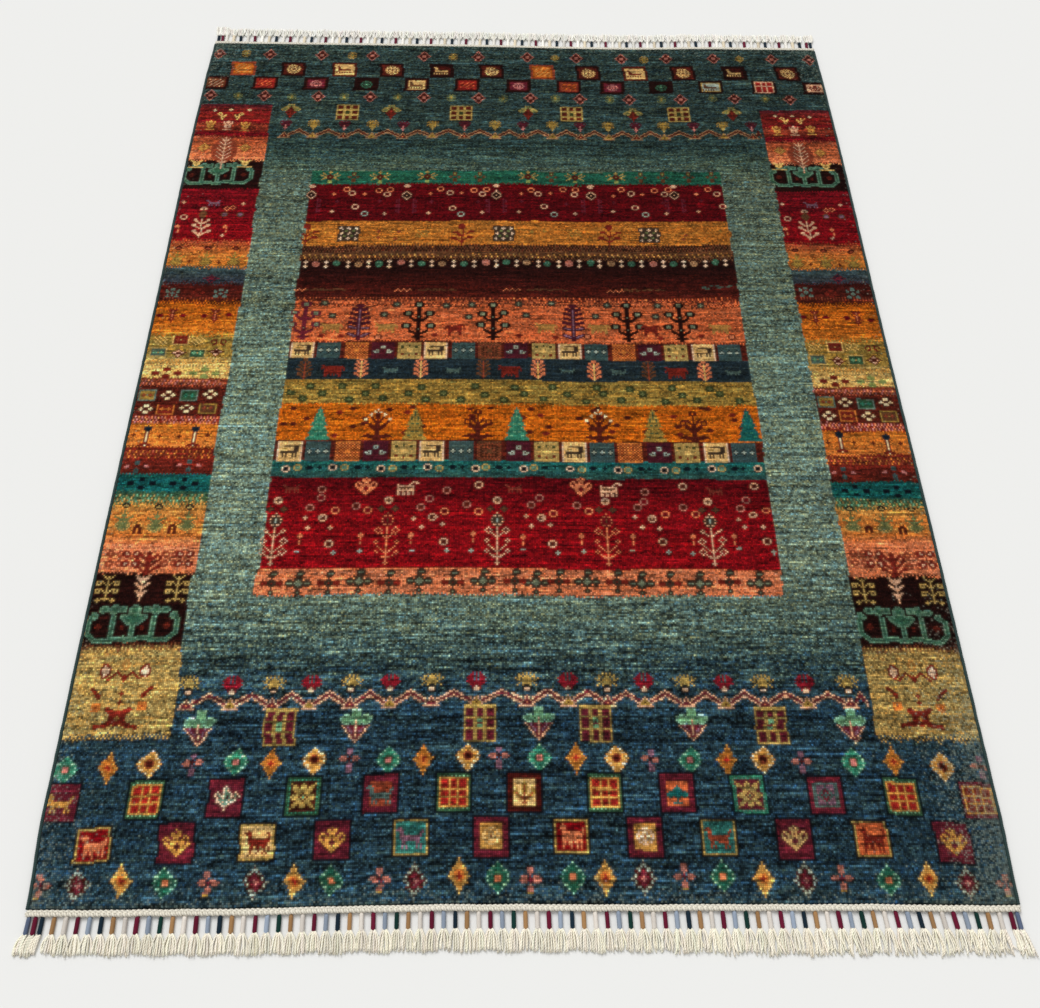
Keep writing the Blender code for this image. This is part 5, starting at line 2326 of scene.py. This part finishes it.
def make_wraps(label, middles, y_root, lean, outwards, material):
    """The coloured yarn round each bundle."""
    turns = int(WRAP_LENGTH / WRAP_TURN)
    count = 2 * turns + 1
    t = np.linspace(-0.06, 1, count)
    raised = np.where(np.arange(count) % 2 == 1, 1.0, 0.90)
    y = y_root[:, None] + outwards * WRAP_LENGTH * t
    x = middles[:, None] + lean[:, None] * np.clip(t, 0, 1) * WRAP_LENGTH / (WRAP_LENGTH + LOCK_LENGTH)
    taper = np.interp(t, (-0.06, 0.1, 0.9, 1.0), (0.72, 1.0, 1.0, 0.92))
    size = rng.uniform(0.90, 1.02, (BUNDLES, 1))
    widths = WRAP_WIDTH * size * taper * raised
    heights = WRAP_HEIGHT * size * taper * raised
    centres = np.stack([x, y, heights / 2], axis=2)
    yarns = np.array([WRAP_YARNS[word] for word in wrap_names(outwards)]) / 255
    yarns = linear(yarns * rng.uniform(0.92, 1.06, (BUNDLES, 1)))
    return make_strands(
        f"wraps_{label}", centres, widths, heights, 8, yarns, material
    )


# Columns: share of the width from the left, how much further the near tassels reach in metres
NEAR_REACH_TABLE = (
    (0.0, -0.0030),
    (0.35, -0.0005),
    (0.62, 0.0005),
    (0.75, 0.0052),
    (1.0, 0.0046),
)


def make_tassels(label, middles, y_root, lean, reach, pitch, share, outwards, material):
    """The loose yarns beyond the wraps, fanned out on the floor and less tidy at the right."""
    group = np.clip(np.arange(BUNDLES), LEFT_CORNER_BUNDLES - 1, BUNDLES - RIGHT_CORNER_BUNDLES)
    t = np.linspace(0, 1, YARN_STEPS)
    paths = []
    for bundle in range(BUNDLES):
        at_left = bundle < LEFT_CORNER_BUNDLES
        at_right = bundle > BUNDLES - RIGHT_CORNER_BUNDLES - 1
        untidy = float(np.interp(share[bundle], (0.0, 0.15, 0.55, 0.72, 1.0), (0.35, 0.2, 0.22, 0.8, 1.15)))
        if outwards > 0:
            untidy = 0.55
        for yarn in range(YARNS):
            place = (yarn + 0.5) / YARNS * 2 - 1
            layer = yarn % 2
            x0 = middles[bundle] + place * WRAP_WIDTH * 0.36
            x0 += lean[bundle] * WRAP_LENGTH / (WRAP_LENGTH + LOCK_LENGTH)
            fan = place * pitch * 0.60 + rng.normal(0, 0.0006)
            if at_left:
                fan = place * 0.005 - 0.004 * (outwards < 0) - 0.001
            if at_right:
                fan = place * 0.005 + (0.004 if outwards < 0 else 0.002)
            x1 = middles[bundle] + lean[bundle] + fan
            length = reach[bundle] * rng.uniform(0.93, 1.03)
            if outwards < 0:
                length += np.interp(share[bundle], *zip(*NEAR_REACH_TABLE))
            if at_left and outwards > 0:
                length *= 1.15
            x = x0 + (x1 - x0) * (1 - (1 - t) ** 3.2)
            y = y_root[bundle] + outwards * (WRAP_LENGTH * 0.97 + length * t)
            swing = untidy * rng.normal(0, 0.0030)
            phase = rng.uniform(0, 2 * math.pi)
            x = x + swing * np.sin(3.4 * t + phase) * t + 0.0003 * np.sin(9 * t + phase) * t
            y = y - outwards * untidy * rng.uniform(0, 0.006) * t**3
            rest = YARN_WIDTH / 2 + layer * YARN_WIDTH * 0.72
            z0 = WRAP_HEIGHT * (0.30 + 0.36 * layer)
            z = rest + (z0 - rest) * (1 - t) ** 2
            paths.append(np.stack([x, y, z], axis=1))
    centres = np.array(paths)
    strands = len(centres)
    taper = np.interp(t, (0, 0.15, 0.9, 1.0), (0.86, 1.0, 1.0, 0.8))
    widths = YARN_WIDTH * taper[None, :] * rng.uniform(0.85, 1.08, (strands, 1))
    cotton = linear(np.array(WRAP_YARNS["cotton" if outwards < 0 else "bleached"]) / 255)
    yarns = cotton[None, :] * rng.uniform(0.82, 1.06, (strands, 1)) * (1 + rng.normal(0, 0.015, (strands, 3)))
    return make_strands(
        f"tassels_{label}", centres, widths, widths * 0.96, 5, np.clip(yarns, 0, 0.95), material
    )


# Floor, light and camera, which aren't part of the rug

IMAGE_WIDTH = 1040
FOCAL_PIXELS = 1126.55
SENSOR_WIDTH = 36.0
CAMERA_PLACE = (-0.04134, -1.16975, 1.42099)
CAMERA_TILT = 0.57292
CAMERA_ROLL = 0.03757
CAMERA_TURN = -0.04063
FLOOR_SIZE = 300.0


def make_stage():
    bpy.ops.mesh.primitive_plane_add(size=FLOOR_SIZE, location=(0, 0, -0.0002))
    floor = bpy.context.object
    floor.name = "floor"
    n = Nodes("floor_matte")
    n.shader.inputs["Base Color"].default_value = (0.80, 0.80, 0.783, 1)
    n.shader.inputs["Roughness"].default_value = 0.95
    n.shader.inputs["Specular IOR Level"].default_value = 0.0
    floor.data.materials.append(n.material)

    world = bpy.data.worlds.new("studio")
    bpy.context.scene.world = world
    world.use_nodes = True
    background = world.node_tree.nodes["Background"]
    background.inputs["Color"].default_value = (1.0, 1.0, 1.0, 1)
    background.inputs["Strength"].default_value = 0.635

    sun = bpy.data.lights.new("soft_key", "SUN")
    sun.energy = 1.79
    sun.angle = math.radians(38)
    key = bpy.data.objects.new("soft_key", sun)
    key.rotation_euler = (math.radians(-34), math.radians(-20), 0)
    bpy.context.scene.collection.objects.link(key)

    camera = bpy.data.objects.new("camera", bpy.data.cameras.new("camera"))
    camera.data.sensor_fit = "HORIZONTAL"
    camera.data.sensor_width = SENSOR_WIDTH
    camera.data.lens = SENSOR_WIDTH * FOCAL_PIXELS / IMAGE_WIDTH
    camera.data.clip_end = 500
    turn = Matrix.Rotation(CAMERA_TURN, 4, "Z") @ Matrix.Rotation(CAMERA_TILT, 4, "X")
    camera.matrix_world = (
        Matrix.Translation(CAMERA_PLACE) @ turn @ Matrix.Rotation(CAMERA_ROLL, 4, "Z")
    )
    bpy.context.scene.collection.objects.link(camera)
    bpy.context.scene.camera = camera
    bpy.context.scene.view_settings.view_transform = "Standard"


def main():
    make_stage()
    colours = linear(wear(vary(*bow(*paint_design()))))
    tips = at_corners(colours)
    points = pile_points()
    pile = pile_material()
    tiles = [
        make_tile(points, tips, across, along, pile)
        for along in range(TILES_ALONG)
        for across in range(TILES_ACROSS)
    ]
    foundation = make_foundation(colours, back_material())
    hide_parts("pile_field")

    cord = yarn_material("side_cord_turns", CORD_TURN, 1, 0.0003, 0.85)
    left_cord = make_side_cord("side_cord_left", left_side, -1, cord)
    right_cord = make_side_cord("side_cord_right", right_side, 1, cord)
    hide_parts("selvedge_left")
    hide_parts("selvedge_right")

    materials = {
        "plait": yarn_material("warp_cotton_plait", 0.0034, 2, 0.0006, 0.85),
        "wrap": yarn_material("wrap_yarn", 0.0008, 1, 0.0001, 0.7),
        "yarn": yarn_material("warp_cotton_yarn", 0.0036, 2, 0.0004, 0.85),
    }
    near = make_end("near", near_end, -1, materials)
    far = make_end("far", far_end, 1, materials)
    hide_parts("fringe_near")
    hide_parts("fringe_far")


main()
